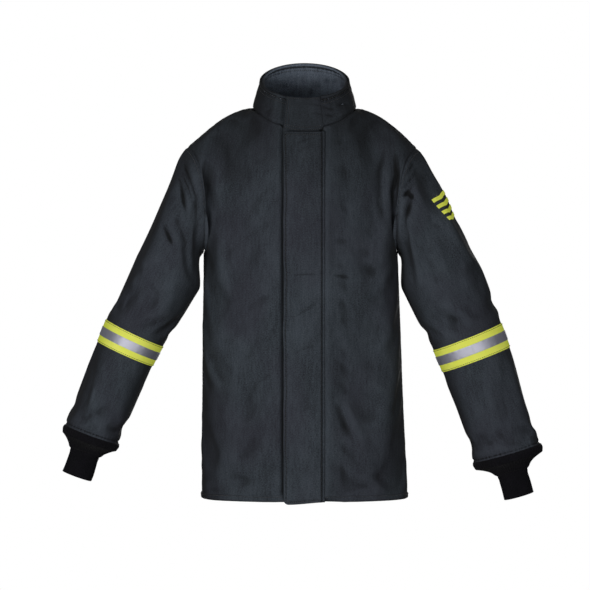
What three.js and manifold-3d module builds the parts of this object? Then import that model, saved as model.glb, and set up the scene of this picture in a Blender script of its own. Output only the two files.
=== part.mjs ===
// A padded turnout coat: stand collar with a closing tab, zipped front under a storm flap,
// set-in sleeves with reflective bands and knitted cuffs. Millimetres, +Z up. The front faces -Y
// and the wearer's left is +X. Heights are given from the hem; at the end the whole coat is set
// down so that the origin lies on the hanger loop's bearing face, where a hook carries it.
import * as THREE from 'three';
import { mergeVertices } from 'three/addons/utils/BufferGeometryUtils.js';
import Module from 'manifold-3d';

// ---- Driving dimensions of the body
const HEM = { height: 0, halfWidth: 210, front: 142, back: 134 };
const ARMPIT = { height: 500, front: 122.1, back: 136 };
const NECK = { halfWidth: 107, front: 112, back: 75, frontHeight: 754, sideHeight: 797, backHeight: 808 };
const RIM = { halfWidth: 90, front: 100, back: 68, frontHeight: 821, sideHeight: 854, backHeight: 889 };
const SHOULDER_SLOPE = 1.5;  // how much steeper the shoulder seam falls towards the armhole
const SQUARENESS = 2.4;      // exponent of the superellipse that every level of the body follows
const NECK_SHARE = 0.6;      // share of each half panel's width that ends at the neck, not the shoulder
const ARMPIT_SHARE = 0.2;    // share of the way up a panel that its straight part below the armpit takes

// ---- Driving dimensions of each side. A sleeve's centreline bends from the armhole to the wrist,
// and its half width and half depth taper from the upper arm to the wrist, most of it at first.
const LEFT = {
  name: 'left', side: 1, armpitHalfWidth: 190, frontEdge: 6, shoulder: { halfWidth: 232, height: 715 },
  bend: [335, -5, 371], wrist: [416, -28, 86], halfWidth: [80, 70], halfDepth: [84, 58],
};
const RIGHT = {
  name: 'right', side: -1, armpitHalfWidth: 207, frontEdge: 14, shoulder: { halfWidth: 241, height: 718 },
  bend: [351, -5, 362], wrist: [437, -28, 125], halfWidth: [74, 57], halfDepth: [90, 68],
};
const ARMHOLE_CENTRE = [200, 0, 608];
const CUFF = { length: 86, tuckedIn: 8, narrowWidth: 26, narrowDepth: 28, flare: 3 };
const EMBLEM = { angles: [6, 34], along: [0.1, 0.165] };

// ---- Places along a sleeve, from 0 at the armhole to 1 at its hem
const HEAD_END = 0.3;        // where the armhole's oval has become the plain tube
const HEAD = [0.009, 0.176];
const UPPER = [0.18, 0.3];
const ELBOW = [0.304, 0.546];
const FOREARM = [0.55, 1];
const BAND = [0.556, 0.644];
const BAND_MIDDLE = [0.583, 0.617];

// ---- Layers, as depths below the outer surface; a negative depth stands proud of it
const SHELL = [0, 2.5];
const LINER = [5.5, 8];
const SLEEVE_LINER = [4, 6.5];
const COLLAR_SHELL = [0, 3];
const COLLAR_LINING = [3.8, 6.2];
const HEM_BAND = [-1.7, -0.4];
const HEM_BAND_RANGE = [0, 11 / ARMPIT.height * ARMPIT_SHARE];
const BAND_LAYER = [-1.5, -0.3];
const BAND_MIDDLE_LAYER = [-2.5, -1.8];
const EMBLEM_LAYER = [-1.6, -0.4];
const CUFF_WALL = [0, 3];
const EDGE_GAP = 0.004;      // share of a half panel left open at each side of a panel joint
const SHELL_LIMIT = { side: 0.999, top: 0.996 };  // where panels stop short of the side and top seams
const LINER_LIMIT = { side: 0.985, top: 0.984 };
const FRONT_GRID = [4, 12];  // facets across and up a front panel
const BACK_GRID = [18, 12];
const TUBE_SIDES = 16;
const LINER_ARMHOLE = { share: 0.5, from: 0.1, to: 0.22 };         // how the liner is cut away there

// ---- Driving dimensions of the front closure: x across, y into the coat, z up the front edge
const ZIP = { middle: -4, bottom: 97, top: 705, pitch: 25, slot: 0.9, root: 2.4, rowWidth: 3.7 };
const FLAP = { free: -43, seam: 36, bottom: -7, top: 751, corner: 10 };
const FLAP_LAYERS = { facing: [-8.2, -6], panel: [-11.2, -8.5] };
const STRIP = { from: -40, to: -18, bottom: 40, top: 690, hook: [-2.6, -0.4], loop: [-5.7, -3] };
const SLIDER = { bottom: 709, height: 24, halfWidth: 6.5, front: [-2.4, -1], back: [4.4, 5.8], web: 0.5 };
const BAIL = { halfWidth: 1.5, front: -5.2, thickness: 0.8, holeBottom: 12, holeTop: 19 };
const PULL = { halfWidth: 4.5, length: 34, bar: [14, 15.3], layer: [-3.95, -2.85] };
const PULL_EYE = { halfWidth: 2.6, bottom: 7.5 };

// ---- Driving dimensions of the collar, as angles from the front towards the wearer's left
const TAB = { free: -24, seam: 20.5, layer: [0, 5.6] };
const TAB_PATCH = { from: -20, to: -6, wall: [0.2, 0.8], loop: [5.9, 7.2], hook: [7.6, 8.9] };
const UNDERLAP = { end: 8, depth: 9.2, stepFrom: -40, stepTo: -27 };
const COLLAR_WALL = [0.03, 1];

// ---- Driving dimensions of the hanger loop inside the back of the neck
const HANGER = { width: 60, height: 15, strap: 2, front: 59, back: 67, top: 806 };

const FABRIC = {
  shell: new THREE.MeshStandardMaterial({ color: 0x2a2f3a, roughness: 0.92, metalness: 0 }),
  liner: new THREE.MeshStandardMaterial({ color: 0x30384a, roughness: 0.95, metalness: 0 }),
  knit: new THREE.MeshStandardMaterial({ color: 0x131318, roughness: 0.95, metalness: 0 }),
  highVisibility: new THREE.MeshStandardMaterial({ color: 0xe2ef4a, roughness: 0.8, metalness: 0 }),
  reflective: new THREE.MeshStandardMaterial({ color: 0xb9bcc8, roughness: 0.35, metalness: 0.3 }),
  webbing: new THREE.MeshStandardMaterial({ color: 0x17181c, roughness: 0.9, metalness: 0 }),
};
const BRASS = new THREE.MeshStandardMaterial({ color: 0xb08d4a, roughness: 0.35, metalness: 1 });

const wasm = await Module();
wasm.setup();

const vec = (x, y, z) => new THREE.Vector3(x, y, z);
const { lerp, clamp, smoothstep, degToRad, euclideanModulo } = THREE.MathUtils;
const mixed = (a, b, share) => a.clone().lerp(b, share);

// A cubic curve from one point to another with the given end tangents.
function hermite(from, leaving, to, arriving, t) {
  const t2 = t * t;
  const t3 = t2 * t;
  return vec(0, 0, 0)
    .addScaledVector(from, 2 * t3 - 3 * t2 + 1)
    .addScaledVector(leaving, t3 - 2 * t2 + t)
    .addScaledVector(to, 3 * t2 - 2 * t3)
    .addScaledVector(arriving, t3 - t2);
}

// How deep the superellipse is, as a share, at this share of its half width.
const depthShare = (across) => (1 - Math.min(1, Math.abs(across)) ** SQUARENESS) ** (1 / SQUARENESS);

// ---- The body's outer surface. face is 1 for the front and -1 for the back.

// One level of a half panel, from the middle of the coat (s = 0) to its side (s = 1).
function levelPoint(s, level, halfWidth, face) {
  const across = Math.sin(s * Math.PI / 2);
  const depth = face > 0 ? level.front : level.back;
  return vec(halfWidth * across, -face * depth * depthShare(across), level.height);
}

// The top edge of a half panel: the neckline, then the shoulder seam.
function topPoint(s, shoulder, face) {
  if (s <= NECK_SHARE) {
    const across = Math.sin(s / NECK_SHARE * Math.PI / 2);
    const middleHeight = face > 0 ? NECK.frontHeight : NECK.backHeight;
    const depth = face > 0 ? NECK.front : NECK.back;
    return vec(
      NECK.halfWidth * across,
      -face * depth * depthShare(across),
      lerp(middleHeight, NECK.sideHeight, across * across),
    );
  }
  const out = (s - NECK_SHARE) / (1 - NECK_SHARE);
  return vec(
    lerp(NECK.halfWidth, shoulder.halfWidth, out),
    0,
    lerp(NECK.sideHeight, shoulder.height, out ** SHOULDER_SLOPE),
  );
}

// A column's direction as it leaves the armpit level: straight on, but round the armhole at the side.
function leavingArmpit(s, slope, face) {
  const straightOn = slope.clone().multiplyScalar(260 / ARMPIT.height);
  const roundArmhole = vec(-40, -face * 300, 50);
  return mixed(straightOn, roundArmhole, clamp((s - NECK_SHARE) / (1 - NECK_SHARE), 0, 1) ** 3);
}

// A column's direction as it meets the neckline or crosses the shoulder.
function arrivingAtTop(s, face) {
  const atMiddle = face > 0 ? vec(0, 10.1, 254) : vec(0, -150, 190);
  const atNeckSide = vec(-100, face * 130, 5);
  const roundArmhole = vec(140, face * 300, 55);
  if (s <= NECK_SHARE) return mixed(atMiddle, atNeckSide, (s / NECK_SHARE) ** 2);
  return mixed(atNeckSide, roundArmhole, ((s - NECK_SHARE) / (1 - NECK_SHARE)) ** 2);
}

// A half panel's surface. up runs from 0 at the hem to 1 at the top edge.
const bodySurface = (wearers, face) => (s, up) => {
  const atHem = levelPoint(s, HEM, HEM.halfWidth, face);
  const atArmpit = levelPoint(s, ARMPIT, wearers.armpitHalfWidth, face);
  const slope = atArmpit.clone().sub(atHem);
  const above = (up - ARMPIT_SHARE) / (1 - ARMPIT_SHARE);
  const point = up <= ARMPIT_SHARE
    ? mixed(atHem, atArmpit, up / ARMPIT_SHARE)
    : hermite(
      atArmpit, leavingArmpit(s, slope, face), topPoint(s, wearers.shoulder, face), arrivingAtTop(s, face),
      above,
    );
  point.x *= wearers.side;
  return point;
};

// The same surface for a liner, which stops short of the armhole where the sleeve's lining takes over.
const linerSurface = (surface) => (s, up) => {
  const flank = Math.max(0, Math.abs(s) - NECK_SHARE);
  const cutAway = flank * LINER_ARMHOLE.share * smoothstep(up, LINER_ARMHOLE.from, LINER_ARMHOLE.to);
  return surface(s - Math.sign(s) * cutAway, up);
};

// The back from one armhole to the other: across runs from -1 at the wearer's right to 1 at the left.
const backSurface = (across, up) => bodySurface(across < 0 ? RIGHT : LEFT, -1)(Math.abs(across), up);

// ---- The sleeve's outer surface

// The armhole seam, from the top of the shoulder (0) forward under the arm (pi) and up the back.
function armholePoint(wearers, angle) {
  const halfTurns = angle / Math.PI;
  return halfTurns <= 1
    ? bodySurface(wearers, 1)(1, lerp(1, ARMPIT_SHARE, halfTurns))
    : bodySurface(wearers, -1)(1, lerp(ARMPIT_SHARE, 1, halfTurns - 1));
}

function centreline(wearers) {
  const points = [ARMHOLE_CENTRE, wearers.bend, wearers.wrist];
  const mirror = vec(wearers.side, 1, 1);
  return new THREE.QuadraticBezierCurve3(...points.map((p) => vec(...p).multiply(mirror)));
}
LEFT.line = centreline(LEFT);
RIGHT.line = centreline(RIGHT);

// The plain tube: an ellipse at every place along the centreline, which runs straight on past the wrist.
function tubePoint(wearers, angle, t, halfWidth, halfDepth) {
  const inside = Math.min(t, 1);
  const direction = wearers.line.getTangent(inside);
  const outward = vec(-direction.z, 0, direction.x).multiplyScalar(wearers.side).normalize();
  return wearers.line.getPoint(inside)
    .addScaledVector(direction, (t - inside) * wearers.line.getLength())
    .addScaledVector(outward, halfWidth * Math.cos(angle))
    .add(vec(0, -halfDepth * Math.sin(angle), 0));
}

function sleeveTube(wearers, angle, t) {
  const down = (Math.min(t, 1) - HEAD_END) / (1 - HEAD_END);
  const taper = 1 - (1 - down) ** 2;
  return tubePoint(wearers, angle, t, lerp(...wearers.halfWidth, taper), lerp(...wearers.halfDepth, down));
}

const sleeveSurface = (wearers) => (angle, t) => {
  if (t >= HEAD_END) return sleeveTube(wearers, angle, t);
  const from = armholePoint(wearers, angle);
  const to = sleeveTube(wearers, angle, HEAD_END);
  const length = from.distanceTo(to);
  const top = Math.cos(angle);
  const leaving = vec(wearers.side * (0.735 - 0.215 * top), 0, -0.58 - 0.28 * top).multiplyScalar(length);
  const arriving = wearers.line.getTangent(HEAD_END).multiplyScalar(length);
  return hermite(from, leaving, to, arriving, t / HEAD_END);
};

// The knitted cuff: a funnel from inside the sleeve's hem to a narrow wrist that flares a little.
const cuffSurface = (wearers) => (angle, down) => {
  const narrowing = smoothstep(down, -0.05, 0.5);
  const flare = CUFF.flare * Math.max(0, down - 0.5);
  return tubePoint(
    wearers, angle, 1 + down * CUFF.length / wearers.line.getLength(),
    lerp(wearers.halfWidth[1] - CUFF.tuckedIn, CUFF.narrowWidth, narrowing) + flare,
    lerp(wearers.halfDepth[1] - CUFF.tuckedIn, CUFF.narrowDepth, narrowing) + flare,
  );
};

// ---- The collar's outer surface

// Angles are degrees from the front towards the wearer's left; up runs from the neckline to the rim.
function collarSurface(degrees, up) {
  const across = Math.sin(degToRad(degrees));
  const forward = Math.cos(degToRad(degrees));
  const ring = (size, towardsSide) => vec(
    size.halfWidth * across,
    (forward >= 0 ? -size.front : size.back) * depthShare(across),
    lerp(forward >= 0 ? size.frontHeight : size.backHeight, size.sideHeight, towardsSide),
  );
  return mixed(ring(NECK, across * across), ring(RIM, 1 - Math.abs(forward)), up);
}

// The right end of the collar steps inwards to pass under the closing tab.
const underlapShift = (degrees) => UNDERLAP.depth * smoothstep(degrees, UNDERLAP.stepFrom, UNDERLAP.stepTo);

// ---- From surfaces to solids

// The surface's normal, by differences that stay inside the given ranges.
function normalOf(surface, a, b, [a0, a1], [b0, b1]) {
  const stepA = (a1 - a0) * 1e-3;
  const stepB = (b1 - b0) * 1e-3;
  const alongA = surface(Math.min(a + stepA, a1), b).sub(surface(Math.max(a - stepA, a0), b));
  const alongB = surface(a, Math.min(b + stepB, b1)).sub(surface(a, Math.max(b - stepB, b0)));
  return alongA.cross(alongB).normalize();
}

// Moves every vertex, then turns the faces round if that left them pointing inwards.
function reshape(geometry, move) {
  const position = geometry.getAttribute('position');
  const index = geometry.getIndex();
  const point = vec(0, 0, 0);
  for (let i = 0; i < position.count; i += 1) {
    position.setXYZ(i, ...move(point.fromBufferAttribute(position, i)).toArray());
  }
  const corners = [vec(0, 0, 0), vec(0, 0, 0), vec(0, 0, 0)];
  let volume = 0;
  for (let i = 0; i < index.count; i += 3) {
    corners.forEach((corner, k) => corner.fromBufferAttribute(position, index.getX(i + k)));
    volume += corners[0].dot(corners[1].cross(corners[2]));
  }
  for (let i = 0; volume < 0 && i < index.count; i += 3) {
    const second = index.getX(i + 1);
    index.setX(i + 1, index.getX(i + 2));
    index.setX(i + 2, second);
  }
  geometry.computeVertexNormals();
  return geometry;
}

// A curved plate between two limits each way and two depths. outward is 1 where the surface's
// first direction crossed with its second points out of the coat, and -1 where it points in.
function plate(surface, rangeA, rangeB, [near, far], [stepsA, stepsB], outward, shift = () => 0) {
  return reshape(new THREE.BoxGeometry(1, 1, 1, stepsA, stepsB, 1), (corner) => {
    const a = lerp(...rangeA, corner.x + 0.5);
    const b = lerp(...rangeB, corner.y + 0.5);
    const depth = (corner.z > 0 ? near : far) + shift(a);
    return surface(a, b).addScaledVector(normalOf(surface, a, b, rangeA, rangeB), -outward * depth);
  });
}

// A curved tube: a surface whose angle goes all the way round, between two depths. The lathe's
// outer wall has radius 2 and its inner wall radius 1, only to tell the two apart.
function tube(surface, range, [near, far], steps, outward) {
  const turn = 2 * Math.PI;
  const wall = (radius) => Array.from({ length: steps + 1 }, (_, i) => new THREE.Vector2(radius, i));
  const profile = [...wall(2), ...wall(1).reverse(), new THREE.Vector2(2, 0)];
  const wrapped = (angle, t) => surface(euclideanModulo(angle, turn), t);
  return reshape(new THREE.LatheGeometry(profile, TUBE_SIDES), (corner) => {
    const angle = euclideanModulo(Math.atan2(corner.x, corner.z) + 1e-9, turn);
    const t = lerp(...range, corner.y / steps);
    const depth = Math.hypot(corner.x, corner.z) > 1.5 ? near : far;
    const normal = normalOf(wrapped, angle, t, [-0.1, turn + 0.1], range);
    return surface(angle, t).addScaledVector(normal, -outward * depth);
  });
}

// A flat plate with an outline in x and z, from y = out to y = into, with an optional hole.
function flatPlate(points, [out, into], hole) {
  const outline = new THREE.Shape(points.map(([x, z]) => new THREE.Vector2(x, z)));
  if (hole) outline.holes.push(new THREE.Path(hole.map(([x, z]) => new THREE.Vector2(x, z))));
  return new THREE.ExtrudeGeometry(outline, { depth: into - out, bevelEnabled: false })
    .rotateX(Math.PI / 2)
    .translate(0, into, 0);
}

const rectangle = (x0, x1, z0, z1) => [[x0, z0], [x1, z0], [x1, z1], [x0, z1]];

// One solid made of several that run into each other.
function joined(geometries) {
  const solids = geometries.map((geometry) => {
    geometry.deleteAttribute('normal');
    geometry.deleteAttribute('uv');
    const merged = mergeVertices(geometry, 1e-4);
    return new wasm.Manifold(new wasm.Mesh({
      numProp: 3,
      vertProperties: merged.getAttribute('position').array,
      triVerts: new Uint32Array(merged.getIndex().array),
    }));
  });
  const mesh = solids.reduce((all, solid) => all.add(solid)).getMesh();
  const result = new THREE.BufferGeometry();
  result.setAttribute('position', new THREE.BufferAttribute(mesh.vertProperties, 3));
  result.setIndex(new THREE.BufferAttribute(mesh.triVerts, 1));
  result.computeVertexNormals();
  return result;
}

// ---- The assembly

const coat = new THREE.Group();

// The closure lies in the plane of the coat's straight front: local z runs up it and -y out of it.
const placket = new THREE.Group();
placket.position.set(0, -HEM.front, 0);
placket.rotation.x = -Math.atan2(HEM.front - NECK.front, NECK.frontHeight);
coat.add(placket);

function add(name, geometry, material, group = coat) {
  const mesh = new THREE.Mesh(geometry, material);
  mesh.name = name;
  group.add(mesh);
}

// Front panels: a middle part that opens and a side part that bends, each with its liner.
function addFront(wearers) {
  const { name, side, frontEdge, armpitHalfWidth } = wearers;
  const surface = bodySurface(wearers, 1);
  const shareAt = (x) => Math.asin(x / armpitHalfWidth) * 2 / Math.PI;
  const middle = [shareAt(frontEdge), NECK_SHARE - EDGE_GAP];
  const linerMiddle = [shareAt(frontEdge + 3), NECK_SHARE - EDGE_GAP];
  const border = NECK_SHARE + EDGE_GAP;
  const panels = [
    ['front', middle, linerMiddle],
    ['side_front', [border, SHELL_LIMIT.side], [border, LINER_LIMIT.side]],
  ];
  for (const [panel, across, linerAcross] of panels) {
    const shell = plate(surface, across, [0, SHELL_LIMIT.top], SHELL, FRONT_GRID, side);
    const liner = plate(linerSurface(surface), linerAcross, [0, LINER_LIMIT.top], LINER, FRONT_GRID, side);
    add(`${name}_${panel}_shell`, shell, FABRIC.shell);
    add(`${name}_${panel}_liner`, liner, FABRIC.liner);
  }
  const band = plate(surface, middle, HEM_BAND_RANGE, HEM_BAND, [FRONT_GRID[0], 1], side);
  add(`${name}_front_hem_band`, band, FABRIC.shell);
}

function addBack() {
  const panel = (name, surface, limit, layer, range, rows, material) => (
    add(name, plate(surface, [-limit.side, limit.side], range, layer, [BACK_GRID[0], rows], -1), material)
  );
  const liner = linerSurface(backSurface);
  panel('back_shell', backSurface, SHELL_LIMIT, SHELL, [0, SHELL_LIMIT.top], BACK_GRID[1], FABRIC.shell);
  panel('back_liner', liner, LINER_LIMIT, LINER, [0, LINER_LIMIT.top], BACK_GRID[1], FABRIC.liner);
  panel('back_hem_band', backSurface, SHELL_LIMIT, HEM_BAND, HEM_BAND_RANGE, 1, FABRIC.shell);
}

// The hanger loop: a strap that stands off the inside of the neck, open for a hook.
function addHangerLoop() {
  const { width, height, strap, front, back, top } = HANGER;
  const outer = rectangle(-width / 2, width / 2, top - height, top);
  const hole = rectangle(-width / 2 + strap, width / 2 - strap, top - height + strap, top - strap);
  add('hanger_loop', flatPlate(outer, [front, back], hole), FABRIC.webbing);
}

function addCollar() {
  const section = (name, from, to, layer, steps, material, shift, wall = COLLAR_WALL) => (
    add(name, plate(collarSurface, [from, to], wall, layer, [steps, 3], 1, shift), material)
  );
  const parts = [
    ['collar_back', 90.2, 269.8, 14, undefined],
    ['left_collar_end', TAB.seam + 0.6, 89.8, 8, undefined],
    ['right_collar_end', -89.8, UNDERLAP.end, 14, underlapShift],
  ];
  for (const [name, from, to, steps, shift] of parts) {
    section(name, from, to, COLLAR_SHELL, steps, FABRIC.shell, shift);
    section(`${name}_lining`, from, to, COLLAR_LINING, steps, FABRIC.liner, shift);
  }
  const { from, to, wall, loop, hook } = TAB_PATCH;
  section('collar_tab', TAB.free, TAB.seam, TAB.layer, 6, FABRIC.shell);
  section('collar_tab_loop_patch', from, to, loop, 3, FABRIC.webbing, undefined, wall);
  section('collar_hook_patch', from, to, hook, 3, FABRIC.webbing, undefined, wall);
}

// One row of zip teeth on its cord. The left row has its teeth in the upper part of each pitch and
// the right row in the lower part, so that they stand between each other.
function toothRow(wearers) {
  const { middle, bottom, top, pitch, slot, root, rowWidth } = ZIP;
  const x = (out) => middle + wearers.side * out;
  const [low, high] = wearers === LEFT ? [0.55, 0.95] : [0.05, 0.45];
  const points = [[x(root), bottom], [x(rowWidth), bottom], [x(rowWidth), top], [x(root), top]];
  for (let i = Math.floor((top - bottom) / pitch) - 1; i >= 0; i -= 1) {
    const upper = bottom + (i + high) * pitch;
    const lower = bottom + (i + low) * pitch;
    points.push([x(root), upper], [x(slot), upper], [x(slot), lower], [x(root), lower]);
  }
  return flatPlate(points, [-0.6, 2.6]);
}

function addZip() {
  const { middle, bottom, top } = ZIP;
  const leftTape = rectangle(middle + 1.4, middle + 13, bottom - 39, top + 35);
  const rightTape = rectangle(middle - 13, middle - 1.4, bottom, top);
  const retainer = rectangle(middle - 5, middle + 5, bottom - 39, bottom - 27);
  const pin = rectangle(middle - 3.6, middle - 1.4, bottom - 25, bottom - 1);
  const stop = rectangle(middle + 1.6, middle + 4.4, top + 30, top + 34);
  add('left_zip_tape', flatPlate(leftTape, [3.3, 4.1]), FABRIC.webbing, placket);
  add('right_zip_tape', flatPlate(rightTape, [3.3, 4.1]), FABRIC.webbing, placket);
  add('left_zip_teeth', toothRow(LEFT), BRASS, placket);
  add('right_zip_teeth', toothRow(RIGHT), BRASS, placket);
  add('zip_retainer_box', flatPlate(retainer, [-1, 2.8]), BRASS, placket);
  add('zip_insertion_pin', flatPlate(pin, [0, 2.4]), BRASS, placket);
  add('zip_top_stop', flatPlate(stop, [-0.6, 2.8]), BRASS, placket);
}

// The storm flap: a padded panel with a facing behind it, and the fastening tape's two halves.
function addStormFlap() {
  const { free, seam, bottom, top, corner } = FLAP;
  const outline = new THREE.Shape();
  outline.moveTo(seam, top);
  outline.lineTo(free, top);
  outline.lineTo(free, bottom + corner);
  outline.absarc(free + corner, bottom + corner, corner, Math.PI, 1.5 * Math.PI);
  outline.lineTo(seam, bottom + corner / 2);
  const points = outline.getPoints(4).map(({ x, y }) => [x, y]);
  const strip = rectangle(STRIP.from, STRIP.to, STRIP.bottom, STRIP.top);
  add('storm_flap_panel', flatPlate(points, FLAP_LAYERS.panel), FABRIC.shell, placket);
  add('storm_flap_facing', flatPlate(points, FLAP_LAYERS.facing), FABRIC.liner, placket);
  add('flap_loop_strip', flatPlate(strip, STRIP.loop), FABRIC.webbing, placket);
  add('front_hook_strip', flatPlate(strip, STRIP.hook), FABRIC.webbing, placket);
}

// The slider: two plates joined by a web that runs between the rows, and a bail for the pull. The
// bail is drawn in depth and height, then stood across the slider.
function addSlider() {
  const { bottom, height, halfWidth, front, back, web } = SLIDER;
  const shield = [
    [-halfWidth, 0], [halfWidth, 0], [halfWidth, height * 0.5], [halfWidth * 0.7, height],
    [-halfWidth * 0.7, height], [-halfWidth, height * 0.5],
  ];
  const bailSide = [
    [front[1], BAIL.holeBottom - 2.4], [BAIL.front, BAIL.holeBottom - 1],
    [BAIL.front, BAIL.holeTop + 1.4], [front[1], BAIL.holeTop + 3],
  ];
  const bailHole = rectangle(BAIL.front + BAIL.thickness, front[0], BAIL.holeBottom, BAIL.holeTop);
  const outline = new THREE.Shape(bailSide.map(([y, z]) => new THREE.Vector2(y, z)));
  outline.holes.push(new THREE.Path(bailHole.map(([y, z]) => new THREE.Vector2(y, z))));
  const bail = new THREE.ExtrudeGeometry(outline, { depth: 2 * BAIL.halfWidth, bevelEnabled: false })
    .translate(0, 0, -BAIL.halfWidth)
    .applyMatrix4(new THREE.Matrix4().makeBasis(vec(0, 1, 0), vec(0, 0, 1), vec(1, 0, 0)));
  const solid = joined([
    flatPlate(shield, front),
    flatPlate(shield, back),
    flatPlate(rectangle(-web, web, height * 0.62, height - 1), [front[1] - 0.5, back[0] + 0.5]),
    bail,
  ]);
  add('zip_slider', solid.translate(ZIP.middle, 0, bottom), BRASS, placket);
}

// The pull: a flat tab that hangs from the bail by the bar above its eye.
function addPull() {
  const { halfWidth, length, bar, layer } = PULL;
  const tab = rectangle(-halfWidth, halfWidth, bar[1] - length, bar[1]);
  const eye = rectangle(-PULL_EYE.halfWidth, PULL_EYE.halfWidth, PULL_EYE.bottom, bar[0]);
  add('zip_pull', flatPlate(tab, layer, eye).translate(ZIP.middle, 0, SLIDER.bottom), BRASS, placket);
}

function addSleeve(wearers) {
  const { name, side } = wearers;
  const surface = sleeveSurface(wearers);
  add(`${name}_sleeve_head`, tube(surface, HEAD, SHELL, 4, side), FABRIC.shell);
  add(`${name}_upper_sleeve_shell`, tube(surface, UPPER, SHELL, 3, side), FABRIC.shell);
  add(`${name}_upper_sleeve_liner`, tube(surface, UPPER, SLEEVE_LINER, 3, side), FABRIC.liner);
  add(`${name}_elbow`, tube(surface, ELBOW, SHELL, 4, side), FABRIC.shell);
  add(`${name}_forearm_shell`, tube(surface, FOREARM, SHELL, 4, side), FABRIC.shell);
  add(`${name}_forearm_liner`, tube(surface, FOREARM, SLEEVE_LINER, 4, side), FABRIC.liner);
  add(`${name}_sleeve_band`, tube(surface, BAND, BAND_LAYER, 1, side), FABRIC.highVisibility);
  add(`${name}_band_stripe`, tube(surface, BAND_MIDDLE, BAND_MIDDLE_LAYER, 1, side), FABRIC.reflective);
  add(`${name}_cuff`, tube(cuffSurface(wearers), [0.01, 1], CUFF_WALL, 4, side), FABRIC.knit);
}

function addEmblem() {
  const angles = EMBLEM.angles.map(degToRad);
  const patch = plate(sleeveSurface(LEFT), angles, EMBLEM.along, EMBLEM_LAYER, [3, 3], 1);
  add('sleeve_emblem', patch, FABRIC.highVisibility);
}

addBack();
addHangerLoop();
addCollar();
[LEFT, RIGHT].forEach(addFront);
addZip();
addSlider();
addPull();
addStormFlap();
[LEFT, RIGHT].forEach(addSleeve);
addEmblem();

coat.position.set(0, -(HANGER.front + HANGER.back) / 2, -(HANGER.top - HANGER.strap));
const part = new THREE.Group();
part.add(coat);

export default part;
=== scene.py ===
"""The looks of a padded turnout coat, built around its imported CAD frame.

Shapes are worked out in millimetres from the hem, with the front towards -Y and the wearer's left
towards +X, and moved into the frame's metres when a mesh is made.
"""

import math
from types import SimpleNamespace as Record

import bpy
import numpy as np
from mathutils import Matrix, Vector


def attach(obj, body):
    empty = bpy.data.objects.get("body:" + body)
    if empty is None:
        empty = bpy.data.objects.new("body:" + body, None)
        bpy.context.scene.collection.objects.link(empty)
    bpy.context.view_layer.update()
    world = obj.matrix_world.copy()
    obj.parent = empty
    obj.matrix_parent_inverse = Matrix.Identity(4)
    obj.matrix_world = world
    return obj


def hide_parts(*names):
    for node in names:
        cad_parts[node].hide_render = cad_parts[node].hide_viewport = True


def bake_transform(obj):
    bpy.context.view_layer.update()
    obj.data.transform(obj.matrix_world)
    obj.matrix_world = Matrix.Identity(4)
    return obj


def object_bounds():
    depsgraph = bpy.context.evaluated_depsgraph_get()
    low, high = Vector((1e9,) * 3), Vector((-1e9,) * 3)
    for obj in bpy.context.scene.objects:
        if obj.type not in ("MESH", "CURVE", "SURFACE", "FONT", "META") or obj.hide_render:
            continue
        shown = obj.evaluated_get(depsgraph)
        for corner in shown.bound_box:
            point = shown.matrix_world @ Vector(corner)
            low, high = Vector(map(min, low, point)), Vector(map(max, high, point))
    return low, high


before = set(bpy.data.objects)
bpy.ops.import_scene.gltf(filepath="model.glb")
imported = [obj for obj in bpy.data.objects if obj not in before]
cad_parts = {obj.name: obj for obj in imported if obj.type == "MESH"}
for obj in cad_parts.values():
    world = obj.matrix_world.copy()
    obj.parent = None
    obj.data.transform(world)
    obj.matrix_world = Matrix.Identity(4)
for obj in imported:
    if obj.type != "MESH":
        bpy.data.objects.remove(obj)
cad_low, cad_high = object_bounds()

# ---- Driving dimensions, the same as the CAD part's
HEM = Record(height=0, half_width=210, front=142, back=134)
ARMPIT = Record(height=500, front=122.1, back=136)
NECK = Record(half_width=107, front=112, back=75, front_height=754, side_height=797, back_height=808)
RIM = Record(half_width=90, front=100, back=68, front_height=821, side_height=854, back_height=889)
SHOULDER_SLOPE = 1.5
SQUARENESS = 2.4
NECK_SHARE = 0.6
ARMPIT_SHARE = 0.2
ARMHOLE_CENTRE = (200, 0, 608)
HEAD_END = 0.3
UPPER_END = 0.34
BAND = (0.556, 0.644)
STRIPE = (0.583, 0.617)
CUFF = Record(length=86, narrow_width=26, narrow_depth=28, flare=3)
EMBLEM = Record(angles=(1, 32), along=(0.12, 0.19))
TAB = Record(free=-24, seam=20.5, depth=5.6)
TAB_PATCH = Record(start=-20, stop=-6, wall=(0.2, 0.8))
UNDERLAP = Record(end=8, depth=9.2, step_from=-40, step_to=-27)
ZIP = Record(middle=-4, bottom=97, top=705)
FLAP = Record(free=-43, seam=36, bottom=-7, top=751, corner=10, outside=-11.2, inside=-6)
STRIP = Record(start=-40, stop=-18, bottom=40, top=690)
HANGER = Record(width=60, height=15, strap=2, front=59, back=67, top=806)

LEFT = Record(name="left", side=1, armpit=190, front_edge=6, shoulder=Record(half_width=232, height=715),
              bend=(335, -5, 371), wrist=(416, -28, 86), half_width=(80, 70), half_depth=(84, 58),
              body="left_front")
RIGHT = Record(name="right", side=-1, armpit=207, front_edge=14, shoulder=Record(half_width=241, height=718),
               bend=(351, -5, 362), wrist=(437, -28, 125), half_width=(74, 57), half_depth=(90, 68),
               body="right_front")

# ---- Layers of cloth, as depths below the outer surface, and how finely the cloth is laid out
SHELL_THICKNESS = 2.5
LINER_LAYER = (6.0, 8.4)
SLEEVE_LINER_LAYER = (5.2, 7.4)
COLLAR_SHELL = (0, 3.0)
COLLAR_LINING = (3.2, 6.0)
SPACING = 3.4
LINER_SPACING = 4.5
FINE_EDGE = (0.2, 0.6, 1.3, 2.4)
LOW_ROW, INNER_COLUMN = 0.12, 0.35    # where a body panel is measured across and upwards

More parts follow.
